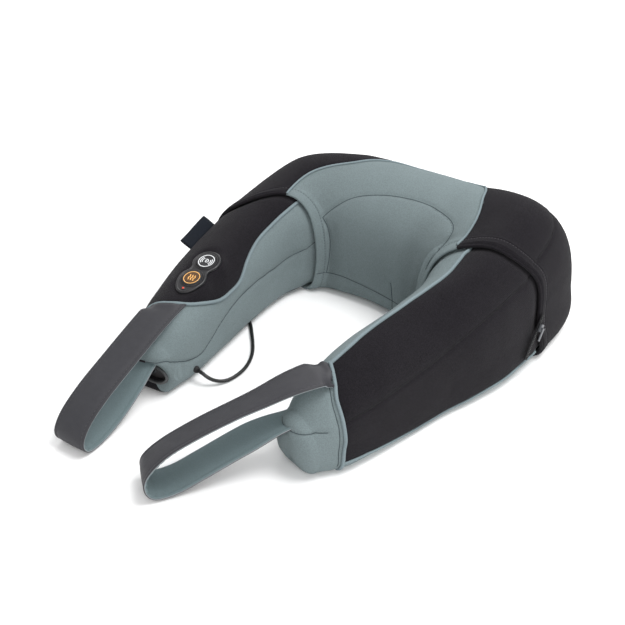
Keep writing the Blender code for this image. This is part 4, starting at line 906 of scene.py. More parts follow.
def black_cover(s, u):
    panel = [*COVER_PIPING, (9.9, 2.6), (9.9, 7.2), (3.0, 7.2), (3.0, 2.86)]
    return inside(s, u, panel).astype(int)


def left_shape(points):
    points, under_pod = tuck_under(points, POD, outside_pod, -0.0016, -0.0030)
    points, under_port = tuck_under(points, PORT, outside_port, -0.0008, -0.0008)
    return points, under_pod | under_port


FABRICS = ["grey_knit", "black_knit"]
LEFT_ROUTES = (LEFT_PIPING, LEFT_SIDE_SEAM, LEFT_TIP_SEAM, LEFT_BASE_SEAM, LEFT_OUTER_SEAM)
left_skin = ArmSkin(LEFT_ROUTES, 1, LEFT_HEM, 1)
left_arm = left_skin.build("left_arm_skin", *left_skin.grid(), black_left, FABRICS, shape=left_shape)
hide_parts("left_arm_pad")

RIGHT_ROUTES = (RIGHT_RING, RIGHT_TOP_PIPING, RIGHT_SIDE_SEAM, RIGHT_TIP_SEAM, RIGHT_INNER_SEAM, RIGHT_NOSE_SEAM,
                RIGHT_BASE_PIPING)
right_skin = ArmSkin(RIGHT_ROUTES, 2, RIGHT_HEM, -1)
right_arm = right_skin.build("right_arm_skin", *right_skin.grid(), black_right, FABRICS)
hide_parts("right_arm_pad")


HEM_WIDTH = 0.0125
HEM_RAISE = 0.0010
HEM_FLARE = 0.0018
HEM_FLARE_REACH = 0.008
HEM_STITCH_INSET = 0.0012
HEM_STITCH_PULL = 0.0013
FOLD_DEPTH = 0.0008
# Distance in from the hem's edge, lift.
HEM_EDGE = (
    (0.010, -0.0036), (0.002, -0.0030), (0.0005, -0.0023), (0.0, -0.0012), (0.0003, -0.0001),
    (0.0010, 0.0007), (0.0020, 0.0010), (0.0030, 0.0011),
)
HEM_FINE_ROWS = 14  # a millimetre apart, over the folded band
CORNER_PUFF = 0.0105  # the cover stands fuller at its back corner over the zip


class CoverSkin(Skin):
    """The removable cover, with a folded and stitched hem at each end."""

    closed = False

    def from_hems(self, s, u):
        left = hem_station(LEFT_HEM, u)
        right = hem_station(RIGHT_HEM, u)
        return (s - left) * station_length(left, u), (right - s) * station_length(right, u)

    def extra(self, s, u):
        result = np.zeros(len(s))
        for distance in self.from_hems(s, u):
            result += HEM_RAISE * (1 - smooth_step(HEM_WIDTH, HEM_WIDTH + 0.0015, distance))
            result += HEM_FLARE * np.exp(-np.maximum(distance, 0) / HEM_FLARE_REACH)
            result -= HEM_STITCH_PULL * np.exp(-((distance - HEM_WIDTH + HEM_STITCH_INSET) / HEM_STITCH_INSET) ** 2)
            folds = np.sin(u * 9.0 + 3.0 * np.sin(u * 2.3)) * np.exp(-np.maximum(distance, 0) / 0.022)
            result += FOLD_DEPTH * folds * smooth_step(HEM_WIDTH, HEM_WIDTH + 0.006, distance)
        corner = np.exp(-((s - 8.9) / 0.68) ** 2 - ((u - 4.1) / 0.95) ** 2)
        return result + CORNER_PUFF * corner

    def held(self, s, u):
        left, right = self.from_hems(s, u)
        return (left < HEM_WIDTH + 0.002) | (right < HEM_WIDTH + 0.002)

    def grid(self):
        u = np.arange(COVER_COLUMNS) * 8 / COVER_COLUMNS
        left = hem_station(LEFT_HEM, u)
        right = hem_station(RIGHT_HEM, u)
        left_length = station_length(left, u)
        right_length = station_length(right, u)
        rows = [left + distance / left_length for distance, _ in HEM_EDGE]
        lifts = [np.full(COVER_COLUMNS, lift) for _, lift in HEM_EDGE]
        fine = 0.004 + 0.001 * np.arange(HEM_FINE_ROWS)
        first = left + (fine[-1] + 0.001) / left_length
        last = right - (fine[-1] + 0.001) / right_length
        rows += [left + distance / left_length for distance in fine]
        rows += [first + (last - first) * t for t in np.linspace(0, 1, COVER_ROWS)]
        rows += [right - distance / right_length for distance in fine[::-1]]
        lifts += [self.lift(row, u) for row in rows[len(HEM_EDGE):]]
        for distance, lift in HEM_EDGE[::-1]:
            rows.append(right - distance / right_length)
            lifts.append(np.full(COVER_COLUMNS, lift))
        edge = len(HEM_EDGE)
        for k in range(edge):
            flare = HEM_FLARE * np.exp(-HEM_EDGE[k][0] / HEM_FLARE_REACH)
            lifts[k] = lifts[k] + flare
            lifts[-1 - k] = lifts[-1 - k] + flare
        return np.concatenate(rows), np.tile(u, len(rows)), len(rows), COVER_COLUMNS, np.concatenate(lifts)


COVER_ROUTES = (COVER_PIPING, COVER_ARCH, COVER_LEFT_RISER, COVER_LOW_SEAM, COVER_RIGHT_RISER, COVER_OUTER_SEAM)
cover_skin = CoverSkin(COVER_ROUTES, 3)
*cover_grid, cover_lift = cover_skin.grid()
cover = cover_skin.build("cover_skin", *cover_grid, black_cover, FABRICS, lift=cover_lift)
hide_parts("centre_cover")


# ------------------------------------------------------------------ piping, seams and stitching

PIPING_RADIUS = 0.0018
SEAM_TUBE_RADIUS = 0.0004


def piping(name, skin, route, material, radius=PIPING_RADIUS):
    points, normals = skin.line(route, 0.0016, lift=radius * 0.75)
    return swept(name, points, circle_outline(radius, 12), material, up=normals)


# A thin dark tube along the bottom of a seam's groove: painted shadow in the groove.
def seam(name, skin, route, material):
    points, normals = skin.line(route, 0.0014, lift=0.0001)
    return swept(name, points, circle_outline(SEAM_TUBE_RADIUS, 6), material, up=normals)


def seam_stitches(name, skin, route, material, offset=0.0):
    points, normals = skin.line(route, 0.0008)
    if offset:
        points = points + frames_along(points, normals)[0] * offset
    return stitches(name, points, normals, material)


def hem_route(hem, sign, distance, first, last, count=40):
    """Places at a fixed distance in from a hem's edge, from outline position first to last."""
    u = np.linspace(first, last, count)
    edge = hem_station(hem, u)
    return list(zip(edge + sign * distance / station_length(edge, u), u))


piping("left_panel_piping", left_skin, LEFT_PIPING, "grey_piping")
seam("left_side_seam_line", left_skin, LEFT_SIDE_SEAM, "seam_shadow_grey")
seam("left_tip_seam_line", left_skin, LEFT_TIP_SEAM, "seam_shadow_grey")
piping("left_tip_slit", left_skin, LEFT_TIP_SEAM[7:20], "black_piping", 0.0010)
seam("left_base_seam_line", left_skin, LEFT_BASE_SEAM, "seam_shadow_grey")
seam("left_outer_seam_line", left_skin, LEFT_OUTER_SEAM, "seam_shadow_black")
piping("right_ring_piping", right_skin, RIGHT_RING, "grey_piping")
piping("right_top_piping", right_skin, RIGHT_TOP_PIPING, "grey_piping")
piping("right_base_piping", right_skin, RIGHT_BASE_PIPING, "grey_piping", 0.0013)
seam("right_side_seam_line", right_skin, RIGHT_SIDE_SEAM, "seam_shadow_black")
seam("right_tip_seam_line", right_skin, RIGHT_TIP_SEAM, "seam_shadow_grey")
seam("right_nose_seam_line", right_skin, RIGHT_NOSE_SEAM, "seam_shadow_grey")
seam("right_inner_seam_line", right_skin, RIGHT_INNER_SEAM, "seam_shadow_grey")
seam_stitches("right_tip_stitches", right_skin, RIGHT_TIP_SEAM, "grey_thread", 0.0016)
piping("cover_panel_piping", cover_skin, COVER_PIPING, "grey_piping", 0.0012)
seam("cover_arch_line", cover_skin, COVER_ARCH, "seam_shadow_grey")
seam_stitches("cover_arch_stitches", cover_skin, COVER_ARCH, "grey_thread", 0.0016)
seam("cover_left_riser_line", cover_skin, COVER_LEFT_RISER, "seam_shadow_grey")
seam("cover_low_seam_line", cover_skin, COVER_LOW_SEAM, "seam_shadow_grey")
seam("cover_right_riser_line", cover_skin, COVER_RIGHT_RISER, "seam_shadow_grey")
seam("cover_outer_seam_line", cover_skin, COVER_OUTER_SEAM, "seam_shadow_black")
for side, hem, sign in (("left", LEFT_HEM, 1), ("right", RIGHT_HEM, -1)):
    switch = 2.86 if side == "left" else 2.60
    for part, first, last in (("inner", 0.1, switch), ("outer", switch, 6.9)):
        route = hem_route(hem, sign, HEM_WIDTH - HEM_STITCH_INSET, first, last)
        thread = "grey_thread" if part == "inner" else "black_thread"
        seam_stitches("%s_hem_%s_stitches" % (side, part), cover_skin, route, thread)


# ------------------------------------------------------------------ hand loops

LEFT_LOOP = (
    (-0.0965, -0.0860, 0.0805), (-0.0925, -0.1150, 0.0775), (-0.0900, -0.1350, 0.0735),
    (-0.0868, -0.1620, 0.0660), (-0.0840, -0.1900, 0.0570), (-0.0815, -0.2180, 0.0470),
    (-0.0793, -0.2420, 0.0345), (-0.0782, -0.2540, 0.0215), (-0.0782, -0.2545, 0.0105),
    (-0.0790, -0.2460, 0.0035), (-0.0810, -0.2260, 0.0040), (-0.0835, -0.2000, 0.0120),
    (-0.0860, -0.1740, 0.0255), (-0.0880, -0.1570, 0.0365), (-0.0893, -0.1430, 0.0440),
)
RIGHT_LOOP = (
    (0.1000, -0.0900, 0.0890), (0.0900, -0.1080, 0.0885), (0.0790, -0.1280, 0.0850),
    (0.0660, -0.1510, 0.0770), (0.0520, -0.1750, 0.0690), (0.0360, -0.2030, 0.0585),
    (0.0215, -0.2280, 0.0455), (0.0125, -0.2440, 0.0300), (0.0110, -0.2465, 0.0150),
    (0.0150, -0.2400, 0.0055), (0.0250, -0.2220, 0.0060), (0.0390, -0.1980, 0.0170),
    (0.0560, -0.1700, 0.0315), (0.0715, -0.1470, 0.0430), (0.0850, -0.1270, 0.0490),
)
LOOP_TURN = 8  # the route point at the loop's far end
STRAP_RINGS = 150
STITCH_LINE = 0.0146  # from the strap's middle line
LEATHER = (
    (-0.0180, 0.0002), (-0.0181, 0.0008), (-0.0178, 0.0013), (-0.0171, 0.0016), (-0.0153, 0.0016),
    (-STITCH_LINE, 0.0012), (-0.0139, 0.0016), (-0.0070, 0.0019), (0.0, 0.0020), (0.0070, 0.0019),
    (0.0139, 0.0016), (STITCH_LINE, 0.0012), (0.0153, 0.0016), (0.0171, 0.0016), (0.0178, 0.0013),
    (0.0181, 0.0008), (0.0180, 0.0002),
)
LINING = (
    (0.0173, 0.0001), (0.0175, -0.0005), (0.0170, -0.0011), (0.0153, -0.0014), (STITCH_LINE, -0.0011),
    (0.0138, -0.0015), (0.0060, -0.0017), (0.0, -0.0017), (-0.0060, -0.0017), (-0.0138, -0.0015),
    (-STITCH_LINE, -0.0011), (-0.0153, -0.0014), (-0.0170, -0.0011), (-0.0175, -0.0005),
    (-0.0173, 0.0001),
)
ROOT_SINK = 0.0030  # how far a strap's root lies below the skin where it is sewn in under the piping
ROOT_PAST = 0.0010  # how far the root reaches beyond the piping's line
ROOT_DIVE = 0.003  # the length over which it goes under
ROOT_REST = 0.0012  # how far its middle line lies above the skin before that
ROOT_RAMP = 0.016
ROOT_LOWEST = 0.06  # above the loop's lower run, which meets no piping
TWIST_RAMP = 0.050


class Strap:
    """One hand loop: its middle line, the direction across it and the direction out of the loop.

    Its upper end lies on the arm's skin and dives under the ring of piping. Twist turns its upper run about
    its own length, the far edge down, and turns its lower end the other way.
    """

    def __init__(self, side, route, ring, skin, twist):
        self.side = side
        self.tree = skin.tree
        ring = on_surface(ring, 60)
        ring = ring[np.argsort(ring[:, 0])]
        self.ring_x, self.ring_y = ring[:, 0], ring[:, 1]
        route = np.array(route)
        t = np.linspace(0, len(route) - 1, STRAP_RINGS)
        self.points = resample(open_curve(route, t) - ORIGIN, 0.0024)
        across = np.cross(route[LOOP_TURN] - route[0], (0.0, 0.0, 1.0))
        self.across = across / np.linalg.norm(across)
        along = np.gradient(self.points, axis=0)
        out = -np.cross(along, self.across)
        self.out = out / np.linalg.norm(out, axis=1, keepdims=True)
        turn = np.argmin(self.points[:, 1])
        steps = np.linalg.norm(np.diff(self.points, axis=0, prepend=self.points[:1]), axis=1)
        self.travelled = np.cumsum(steps)
        past_turn = self.travelled - self.travelled[turn]
        self.from_turn = np.abs(past_turn)
        share = 1 - smooth_step(-TWIST_RAMP, TWIST_RAMP, past_turn)
        share -= smooth_step(-TWIST_RAMP, 0.0, self.travelled - self.travelled[-1])
        angle = (twist * share * smooth_step(0.0, 2 * TWIST_RAMP, self.travelled))[:, None]
        across = np.cos(angle) * self.across - np.sin(angle) * self.out
        self.out = np.cos(angle) * self.out + np.sin(angle) * self.across
        self.across = across

    def place(self, across, out):
        out = np.reshape(out, (-1, 1))
        middle = self.points + self.across * across
        points = middle + self.out * out
        past = middle[:, 1] - np.interp(middle[:, 0], self.ring_x, self.ring_y)
        resting = smooth_step(-ROOT_RAMP, -0.3 * ROOT_RAMP, past) * (middle[:, 2] > ROOT_LOWEST)
        last = int(np.argmax(past < ROOT_PAST))  # the place nearest the root that isn't yet under the piping
        for i in np.flatnonzero(resting > 0)[::-1]:
            spot, normal = self.tree.find_nearest(Vector(middle[max(i, last)]))[:2]
            under = float(smooth_step(ROOT_PAST - ROOT_DIVE, ROOT_PAST, past[i]))
            under += max(0, last - i) / (last + 1)
            height = (out[min(i, len(out) - 1), 0] + ROOT_REST) - (ROOT_REST + ROOT_SINK) * under
            target = np.array(spot) + np.array(normal) * height
            points[i] += (target - points[i]) * resting[i]
        return points

    def layer(self, name, outline, material, wrinkle=0.0):
        """A strip of one material. Its inner face gathers into small folds round the turn."""
        folds = wrinkle * np.exp(-(self.from_turn / 0.03) ** 2)
        rings = []
        for across, out in outline:
            swing = 1.0 + 0.4 * math.sin(across * 300.0)
            wave = folds * np.sin(self.travelled * 700.0 * swing + across * 90.0) if out < -0.0009 else 0.0
            rings.append(self.place(across, out + wave))
        vertices = np.stack(rings, axis=1).reshape(-1, 3)
        count = len(outline)
        faces = tube_faces(len(self.points), count)
        around = np.tile([row[0] for row in outline], len(self.points))
        uv = np.column_stack((around, np.repeat(self.travelled, count)))
        item = add_mesh("%s_%s" % (self.side, name), vertices, faces, [material], uv=uv)
        fix_normals(item)
        return item

    def build(self):
        leather_layer = self.layer("strap_leather", LEATHER, "strap_leather")
        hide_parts(self.side + "_hand_loop")
        self.layer("strap_lining", LINING, "grey_lining", wrinkle=0.0011)
        for name, sign in (("near", -1), ("far", 1)):
            edge = self.place(sign * 0.0177, 0.00015)
            label = "%s_strap_%s_" % (self.side, name)
            swept(label + "edge", edge, circle_outline(0.00045, 8), "strap_edge", up=self.out)
            row = self.place(sign * STITCH_LINE, 0.0013)
            stitches(label + "stitches", row, self.out, "black_thread", 0.0026, 0.0012, 0.00026)


Strap("left", LEFT_LOOP, LEFT_PIPING[7:13], left_skin, 0.0).build()
Strap("right", RIGHT_LOOP, RIGHT_RING[:5], right_skin, math.radians(17)).build()


# ------------------------------------------------------------------ control panel

def turned(name, profile, place, centre, material, body="collar", segments=64):
    """A profile of (radius, height) points turned round the place's Z axis through centre."""
    vertices = []
    rings = []
    for radius, height in profile:
        count = 1 if radius < 1e-7 else segments
        rings.append((len(vertices), count))
        for k in range(count):
            angle = 2 * math.pi * k / count
            x = centre[0] + radius * math.cos(angle)
            y = centre[1] + radius * math.sin(angle)
            vertices.append((x, y, height))
    faces = []
    for (first, many), (second, more) in zip(rings, rings[1:]):
        for k in range(segments):
            n = (k + 1) % segments
            if many == 1:
                faces.append((first, second + k, second + n))
            elif more == 1:
                faces.append((first + k, second, first + n))
            else:
                faces.append((first + k, second + k, second + n, first + n))
    item = add_mesh(name, place.out(vertices), faces, [material], body)
    fix_normals(item)
    return sharpen(item)


def turned_lip(name, profile, y, segments=64):
    """A closed ring round a hole of the control panel."""
    turned(name, [*profile, profile[0]], POD, (0.0, y), "satin_black", segments=segments)


def pod_outline(margin):
    """The panel's figure-of-eight outline, longer at the heat button's end for the lamp."""
    radius = BEZEL_RADIUS + margin
    waist = BEZEL_WAIST + margin
    right = []
    for i in range(25):
        angle = math.radians(-90 + 125 * i / 24)
        x = radius * math.cos(angle)
        y = -BUTTON_HALF_SPACING + radius * math.sin(angle)
        if angle < 0:
            y -= BEZEL_TAIL * math.sin(-angle) ** 2
        right.append((x, y))
    last_x, last_y = right[-1]
    for i in range(1, 8):
        share = i / 8
        y = last_y * (1 - 2 * share)
        right.append((waist + (last_x - waist) * abs(1 - 2 * share) ** 1.8, y))
    for i in range(25):
        angle = math.radians(-35 + 125 * i / 24)
        right.append((radius * math.cos(angle), BUTTON_HALF_SPACING + radius * math.sin(angle)))
    left = [(-x, y) for x, y in right[-2:0:-1]]
    return right + left


def stacked(name, rings, place, material, capped=True):
    """Outlines joined one on the next; each ring is (points, height)."""
    vertices = []
    for outline, height in rings:
        vertices += [(x, y, height) for x, y in outline]
    count = len(rings[0][0])
    faces = tube_faces(len(rings), count) if capped else grid_faces(len(rings), count)
    item = add_mesh(name, place.out(vertices), faces, [material])
    fix_normals(item)
    return sharpen(item)


def cut_holes(item, cutters):
    """Cuts closed solids out of a piece and deletes them."""
    for cutter in cutters:
        modifier = item.modifiers.new("hole", 'BOOLEAN')
        modifier.solver = 'EXACT'
        modifier.operation = 'DIFFERENCE'
        modifier.object = cutter
    depsgraph = bpy.context.evaluated_depsgraph_get()
    depsgraph.update()
    mesh = bpy.data.meshes.new_from_object(item.evaluated_get(depsgraph))
    item.modifiers.clear()
    item.data = mesh
    for cutter in cutters:
        bpy.data.objects.remove(cutter)
    return sharpen(item)


# Margin of the outline, height.
BEZEL_RINGS = (
    (-0.0006, -0.0014), (0.0, -0.0011), (0.0001, -0.0004), (0.0, 0.0004), (-0.0004, 0.0010),
    (-0.0011, 0.0014), (-0.0018, 0.0014), (-0.0023, 0.0010), (-0.0030, 0.0009),
)
BUTTONS = (("massage", BUTTON_HALF_SPACING), ("heat", -BUTTON_HALF_SPACING))
HOLE_RADIUS = BUTTON_RADIUS + 0.0003
HOLE_LIP = ((HOLE_RADIUS, 0.0003), (HOLE_RADIUS, 0.0014), (HOLE_RADIUS + 0.0003, 0.0017),
            (HOLE_RADIUS + 0.0009, 0.0016), (HOLE_RADIUS + 0.0013, 0.0010), (HOLE_RADIUS + 0.0013, 0.0003))
LAMP_HOLE_RADIUS = 0.0014
LAMP_LIP = ((0.0014, 0.0004), (0.0014, 0.0012), (0.0017, 0.0015), (0.0022, 0.0012), (0.0023, 0.0004))
SYMBOL_WIDTH = 0.0008
SYMBOL_RING_RADIUS = 0.0081
HEAT_DISC = (
    (0.0, 0.00172), (0.0040, 0.00175), (0.0070, 0.00187), (0.0074, 0.00180), (0.0074, 0.0010),
    (0.0, 0.0010),
)
BUTTON_PROFILE = ((0.0, 0.00165), (0.0040, 0.00168), (0.0070, 0.00180), (0.0088, 0.00196), (0.0096, 0.0020),
                  (0.0101, 0.0018), (0.0104, 0.0013), (0.0104, -0.0030), (0.0, -0.0030))


def hole_cutter(y, radius):
    profile = ((0.0, -0.006), (radius, -0.006), (radius, 0.006), (0.0, 0.006))
    return turned("hole_cutter", profile, POD, (0.0, y), "gloss_black", segments=48)


def button_height(x, y):
    radii = [row[0] for row in BUTTON_PROFILE[:5]]
    heights = [row[1] for row in BUTTON_PROFILE[:5]]
    return float(np.interp(math.hypot(x, y), radii, heights))


def symbol(name, path, button, material, width=SYMBOL_WIDTH):
    """A printed line on a button, as a thin raised ribbon that follows the button's dished top."""
    rows = [(x, y + dict(BUTTONS)[button], button_height(x, y)) for x, y in path]
    half = width / 2
    outline = ((-half, -0.0001), (half, -0.0001), (half, 0.00008), (-half, 0.00008))
    up = np.tile(POD.normal, (len(rows), 1))
    return swept(name, POD.out(rows), outline, material, button + "_key", up=up)


def arc(radius, start, end, steps=40):
    angles = [math.radians(start + (end - start) * i / steps) for i in range(steps + 1)]
    return [(radius * math.cos(angle), radius * math.sin(angle)) for angle in angles]


bezel_rings = [(pod_outline(margin), height) for margin, height in BEZEL_RINGS]
bezel = stacked("control_panel", bezel_rings, POD, "gloss_black")
cutters = [hole_cutter(y, HOLE_RADIUS) for _, y in BUTTONS] + [hole_cutter(LAMP_Y, LAMP_HOLE_RADIUS)]
cut_holes(bezel, cutters)
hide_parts("control_bezel")
for name, y in BUTTONS:
    turned_lip(name + "_hole_lip", HOLE_LIP, y)
    key = turned(name + "_key", BUTTON_PROFILE, POD, (0.0, y), "gloss_black", name + "_key")
    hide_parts(name + "_button")
turned_lip("lamp_lip", LAMP_LIP, LAMP_Y, segments=32)

ring_path = arc(SYMBOL_RING_RADIUS, 0, 362, 72)
symbol("massage_ring", ring_path, "massage", "symbol_white")
turns = np.linspace(0.5, 4.6, 40)
swirl = [(0.0006 * t * math.cos(t * 1.9), 0.0006 * t * math.sin(t * 1.9)) for t in turns]
symbol("massage_swirl", swirl, "massage", "symbol_white")
for name, start in (("left", 140), ("right", -40)):
    for ring, radius in (("inner", 0.0044), ("outer", 0.0062)):
        symbol("massage_%s_%s_arc" % (name, ring), arc(radius, start, start + 80, 20), "massage", "symbol_white")
turned("heat_disc", HEAT_DISC, POD, (0.0, -BUTTON_HALF_SPACING), "heat_disc", "heat_key")
symbol("heat_ring", ring_path, "heat", "heat_ring")
for k, x in enumerate((-0.0028, 0.0, 0.0028)):
    wave = [(x + 0.0006 * math.sin(y * 1700.0), y) for y in np.linspace(-0.0036, 0.0036, 30)]
    line = symbol("heat_wave_%d" % (k + 1), wave, "heat", "heat_ring", 0.0009)
    line.data.transform(Matrix.Translation(Vector(POD.normal) * 0.00008))


# ------------------------------------------------------------------ power port

def port_rings(rows):
    """Ovals of (margin past the port's outline, height), ready to stack."""
    rings = []
    for margin, height in rows:
        oval = circle_outline(1.0, 64) * (PORT_HALF_WIDTH + margin, PORT_HALF_HEIGHT + margin)
        rings.append((oval.tolist(), height))
    return rings


# Margin of the oval, height.
RIM_RINGS = (
    (-0.0016, -0.0011), (0.0013, -0.0011), (0.0016, -0.0004), (0.0013, 0.0008), (0.0004, 0.0012),
    (-0.0008, 0.0012), (-0.0015, 0.0007), (-0.0018, -0.0004), (-0.0016, -0.0011),
)
WELL_RINGS = ((-0.0019, -0.0050), (-0.0022, -0.0046), (-0.0030, -0.0044))
JACK_X = -0.0040
JACK_HOLE_RADIUS = 0.0046
rim = stacked("port_rim_ring", port_rings(RIM_RINGS), PORT, "rim_plastic", capped=False)
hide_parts("port_bezel")
well = stacked("port_well_floor", port_rings(WELL_RINGS), PORT, "well_floor")
jack_hole = ((0.0, -0.01), (JACK_HOLE_RADIUS, -0.01), (JACK_HOLE_RADIUS, 0.01), (0.0, 0.01))
jack_room = turned("hole_cutter", jack_hole, PORT, (JACK_X, 0.0), "well_floor")
cut_holes(well, [jack_room])


# ------------------------------------------------------------------ cord

CORD_RADIUS = 0.00185
CORD_FLOOR = 0.0021
GLAND_POINT = np.array((-0.0560, -0.1085, 0.0140))
GLAND_INSIDE = 0.0097
CORD_ROUTE = (
    (-0.0540, -0.1085, 0.0140), (-0.0490, -0.1085, 0.0133), (-0.0440, -0.1070, 0.0100),
    (-0.0385, -0.1015, 0.0055), (-0.0340, -0.0930, 0.0028), (-0.0320, -0.0820, CORD_FLOOR),
    (-0.0325, -0.0690, CORD_FLOOR), (-0.0365, -0.0560, CORD_FLOOR), (-0.0440, -0.0430, CORD_FLOOR),
    (-0.0545, -0.0310, CORD_FLOOR), (-0.0660, -0.0200, CORD_FLOOR), (-0.0770, -0.0100, CORD_FLOOR),
    (-0.0920, -0.0020, CORD_FLOOR), (-0.1100, 0.0010, CORD_FLOOR), (-0.1300, 0.0000, CORD_FLOOR),
    (-0.1500, -0.0020, CORD_FLOOR), (-0.1680, 0.0020, CORD_FLOOR), (-0.1830, 0.0140, CORD_FLOOR),
    (-0.1930, 0.0320, CORD_FLOOR), (-0.2030, 0.0500, CORD_FLOOR), (-0.2110, 0.0680, 0.0030),
    (-0.2132, 0.0800, 0.0032),
)
COIL_CENTRE = np.array((-0.1880, 0.0900))
COIL_LEVEL = 0.0032
COIL_FIRST_ANGLE = 175.0  # degrees; the coil is wound clockwise from here
COIL_LAST_ANGLE = -488.0
COIL_FIRST_RADIUS = 0.0255
COIL_PITCH = 0.0038
TAIL_BEND_RADIUS = 0.0148
SOCKET_MOUTH = np.array((-0.2150, 0.1209, 0.0057))
TAIL_LIFT = 0.0044  # the tail crosses over the turns and the incoming lead


TAIL_FIRST_ANGLE = -136.0
TAIL_LAST_ANGLE = -271.0


def on_circle(centre, radius, angle):
    return centre + radius * np.array((math.cos(angle), math.sin(angle)))


def cord_points():
    start = GLAND_POINT - np.array((GLAND_INSIDE, 0.0, 0.0))
    route = [start, (start + CORD_ROUTE[0]) / 2, *CORD_ROUTE]
    t = np.linspace(0, len(route) - 1, 8 * len(route))
    points = [tuple(point) for point in open_curve(np.array(route), t)]
    turn = []
    for angle in np.arange(COIL_FIRST_ANGLE, COIL_LAST_ANGLE, -8.0):
        turns = (COIL_FIRST_ANGLE - angle) / 360
        radius = COIL_FIRST_RADIUS - COIL_PITCH * turns
        turn.append((*on_circle(COIL_CENTRE, radius, math.radians(angle)), COIL_LEVEL))
    leave = math.radians(COIL_LAST_ANGLE)
    radius = COIL_FIRST_RADIUS - COIL_PITCH * (COIL_FIRST_ANGLE - COIL_LAST_ANGLE) / 360
    off = on_circle(COIL_CENTRE, radius, leave)
    bend_centre = SOCKET_MOUTH[:2] - np.array((0.0, TAIL_BEND_RADIUS))
    on = on_circle(bend_centre, TAIL_BEND_RADIUS, leave)
    tail = [(*(off + (on - off) * share), COIL_LEVEL) for share in np.linspace(0, 1, 12)]
    for angle in np.arange(TAIL_FIRST_ANGLE, TAIL_LAST_ANGLE, -9.0):
        tail.append((*on_circle(bend_centre, TAIL_BEND_RADIUS, math.radians(angle)), COIL_LEVEL))
    tail.append((SOCKET_MOUTH[0] + 0.0040, SOCKET_MOUTH[1], COIL_LEVEL))
    points = resample(np.array(points + turn + tail) - ORIGIN, 0.0022)
    travelled = travelled_along(points)
    off_row = off - ORIGIN[:2]
    leaving = travelled[-90:][np.argmin(np.linalg.norm(points[-90:, :2] - off_row, axis=1))]
    rise = smooth_step(leaving - 0.011, leaving + 0.009, travelled)
    fall = smooth_step(leaving + 0.020, leaving + 0.048, travelled)
    points[:, 2] += TAIL_LIFT * rise - (TAIL_LIFT - (SOCKET_MOUTH[2] - COIL_LEVEL)) * fall
    smoothed = points.copy()
    for _ in range(3):
        smoothed[1:-1] = (smoothed[:-2] + 2 * smoothed[1:-1] + smoothed[2:]) / 4
        smoothed[:4] = points[:4]
        smoothed[-3:] = points[-3:]
    return smoothed, float(travelled[-1])


def build_cord():
    points, length = cord_points()
    curve = bpy.data.curves.new("power_cord", 'CURVE')
    curve.dimensions = '3D'
    spline = curve.splines.new('POLY')
    spline.points.add(len(points) - 1)
    for place, point in zip(spline.points, points):
        place.co = (*point, 1.0)
    curve.bevel_depth = CORD_RADIUS
    curve.bevel_resolution = 4
    curve.use_fill_caps = True
    curve.materials.append(MATERIALS["cord_black"])
    item = show("power_cord", curve)
    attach(item, "collar")
    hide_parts("power_lead", "lead_coil")


build_cord()


# ------------------------------------------------------------------ tag and zip

TAG_START = 2.52
TAG_END = 3.18
TAG_OUTLINE_POINT = 4.62
TAG_REACH = np.array((-0.0150, 0.0, 0.0040))
TAG_HALF_GAP = 0.0005


def build_tag():
    """A blank woven tag, folded in half with both ends in the arm's outer seam."""
    s = np.linspace(TAG_START, TAG_END, 18)
    base = surface(s, np.full(len(s), TAG_OUTLINE_POINT))
    reach = np.linalg.norm(TAG_REACH)
    out = TAG_REACH / reach
    along = (base[-1] - base[0]) / np.linalg.norm(base[-1] - base[0])
    face = np.cross(out, along)
    face /= np.linalg.norm(face)
    profile = [(-0.0015, -TAG_HALF_GAP)]
    for share in np.linspace(0.1, 0.92, 8):
        profile.append((reach * share, -TAG_HALF_GAP - 0.0005 * math.sin(math.pi * share)))
    for angle in np.linspace(-1.2, 1.2, 5):
        profile.append((reach * 0.92 + 0.0007 * math.cos(angle), TAG_HALF_GAP * math.sin(angle)))
    for share in np.linspace(0.92, 0.1, 8):
        profile.append((reach * share, TAG_HALF_GAP + 0.0006 * math.sin(math.pi * share)))
    profile.append((-0.0015, TAG_HALF_GAP))
    vertices = []
    for i, root in enumerate(base):
        sway = 0.0007 * math.sin(i * 0.35)
        for distance, offset in profile:
            vertices.append(root + out * (distance + 0.0010) + face * (offset + sway * distance / reach))
    faces = grid_faces(len(base), len(profile), close_columns=False)
    tag = add_mesh("woven_tag", vertices, faces, ["tag_cloth"])
    thick = tag.modifiers.new("thickness", 'SOLIDIFY')
    thick.thickness = 0.00035
    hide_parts("cloth_tag")
    for name, distance in (("outer", 0.0130), ("inner", 0.0030)):
        line = [root + out * (distance + 0.0010) + face * (TAG_HALF_GAP + 0.0006) for root in base]
        swept("tag_%s_border" % name, line, circle_outline(0.00022, 6), "tag_border")


build_tag()

ZIP_START = (9.67, 5.80)
ZIP_END = (9.90, 6.50)
ZIP_LIFT = 0.0022
ZIP_OFFSET = 0.0015
ZIP_LENGTH = 0.048
ZIP_WIDTH = 0.009
TOOTH_PITCH = 0.0016
TOOTH_WIDTH = 0.0028
TOOTH_RINGS = 9
TOOTH_SECTION = ((-0.0004, 0.0), (0.0, 0.0002), (0.0004, 0.0), (0.0, -0.0004))


def zip_place():
    """Y down along the tape, Z out of the cover, origin at the tape's upper end."""
    ends = np.array((ZIP_START, ZIP_END))
    first, last = surface(ends[:, 0], ends[:, 1]) + surface_normals(ends[:, 0], ends[:, 1]) * ZIP_LIFT
    along = (last - first) / np.linalg.norm(last - first)
    level = np.array((along[1], -along[0], 0.0))
    out = np.cross(np.cross(level, along), along)
    out /= np.linalg.norm(out)
    if out[0] < 0:
        out = -out
    return Place(first + ORIGIN + out * ZIP_OFFSET, (np.cross(along, out), along, out))


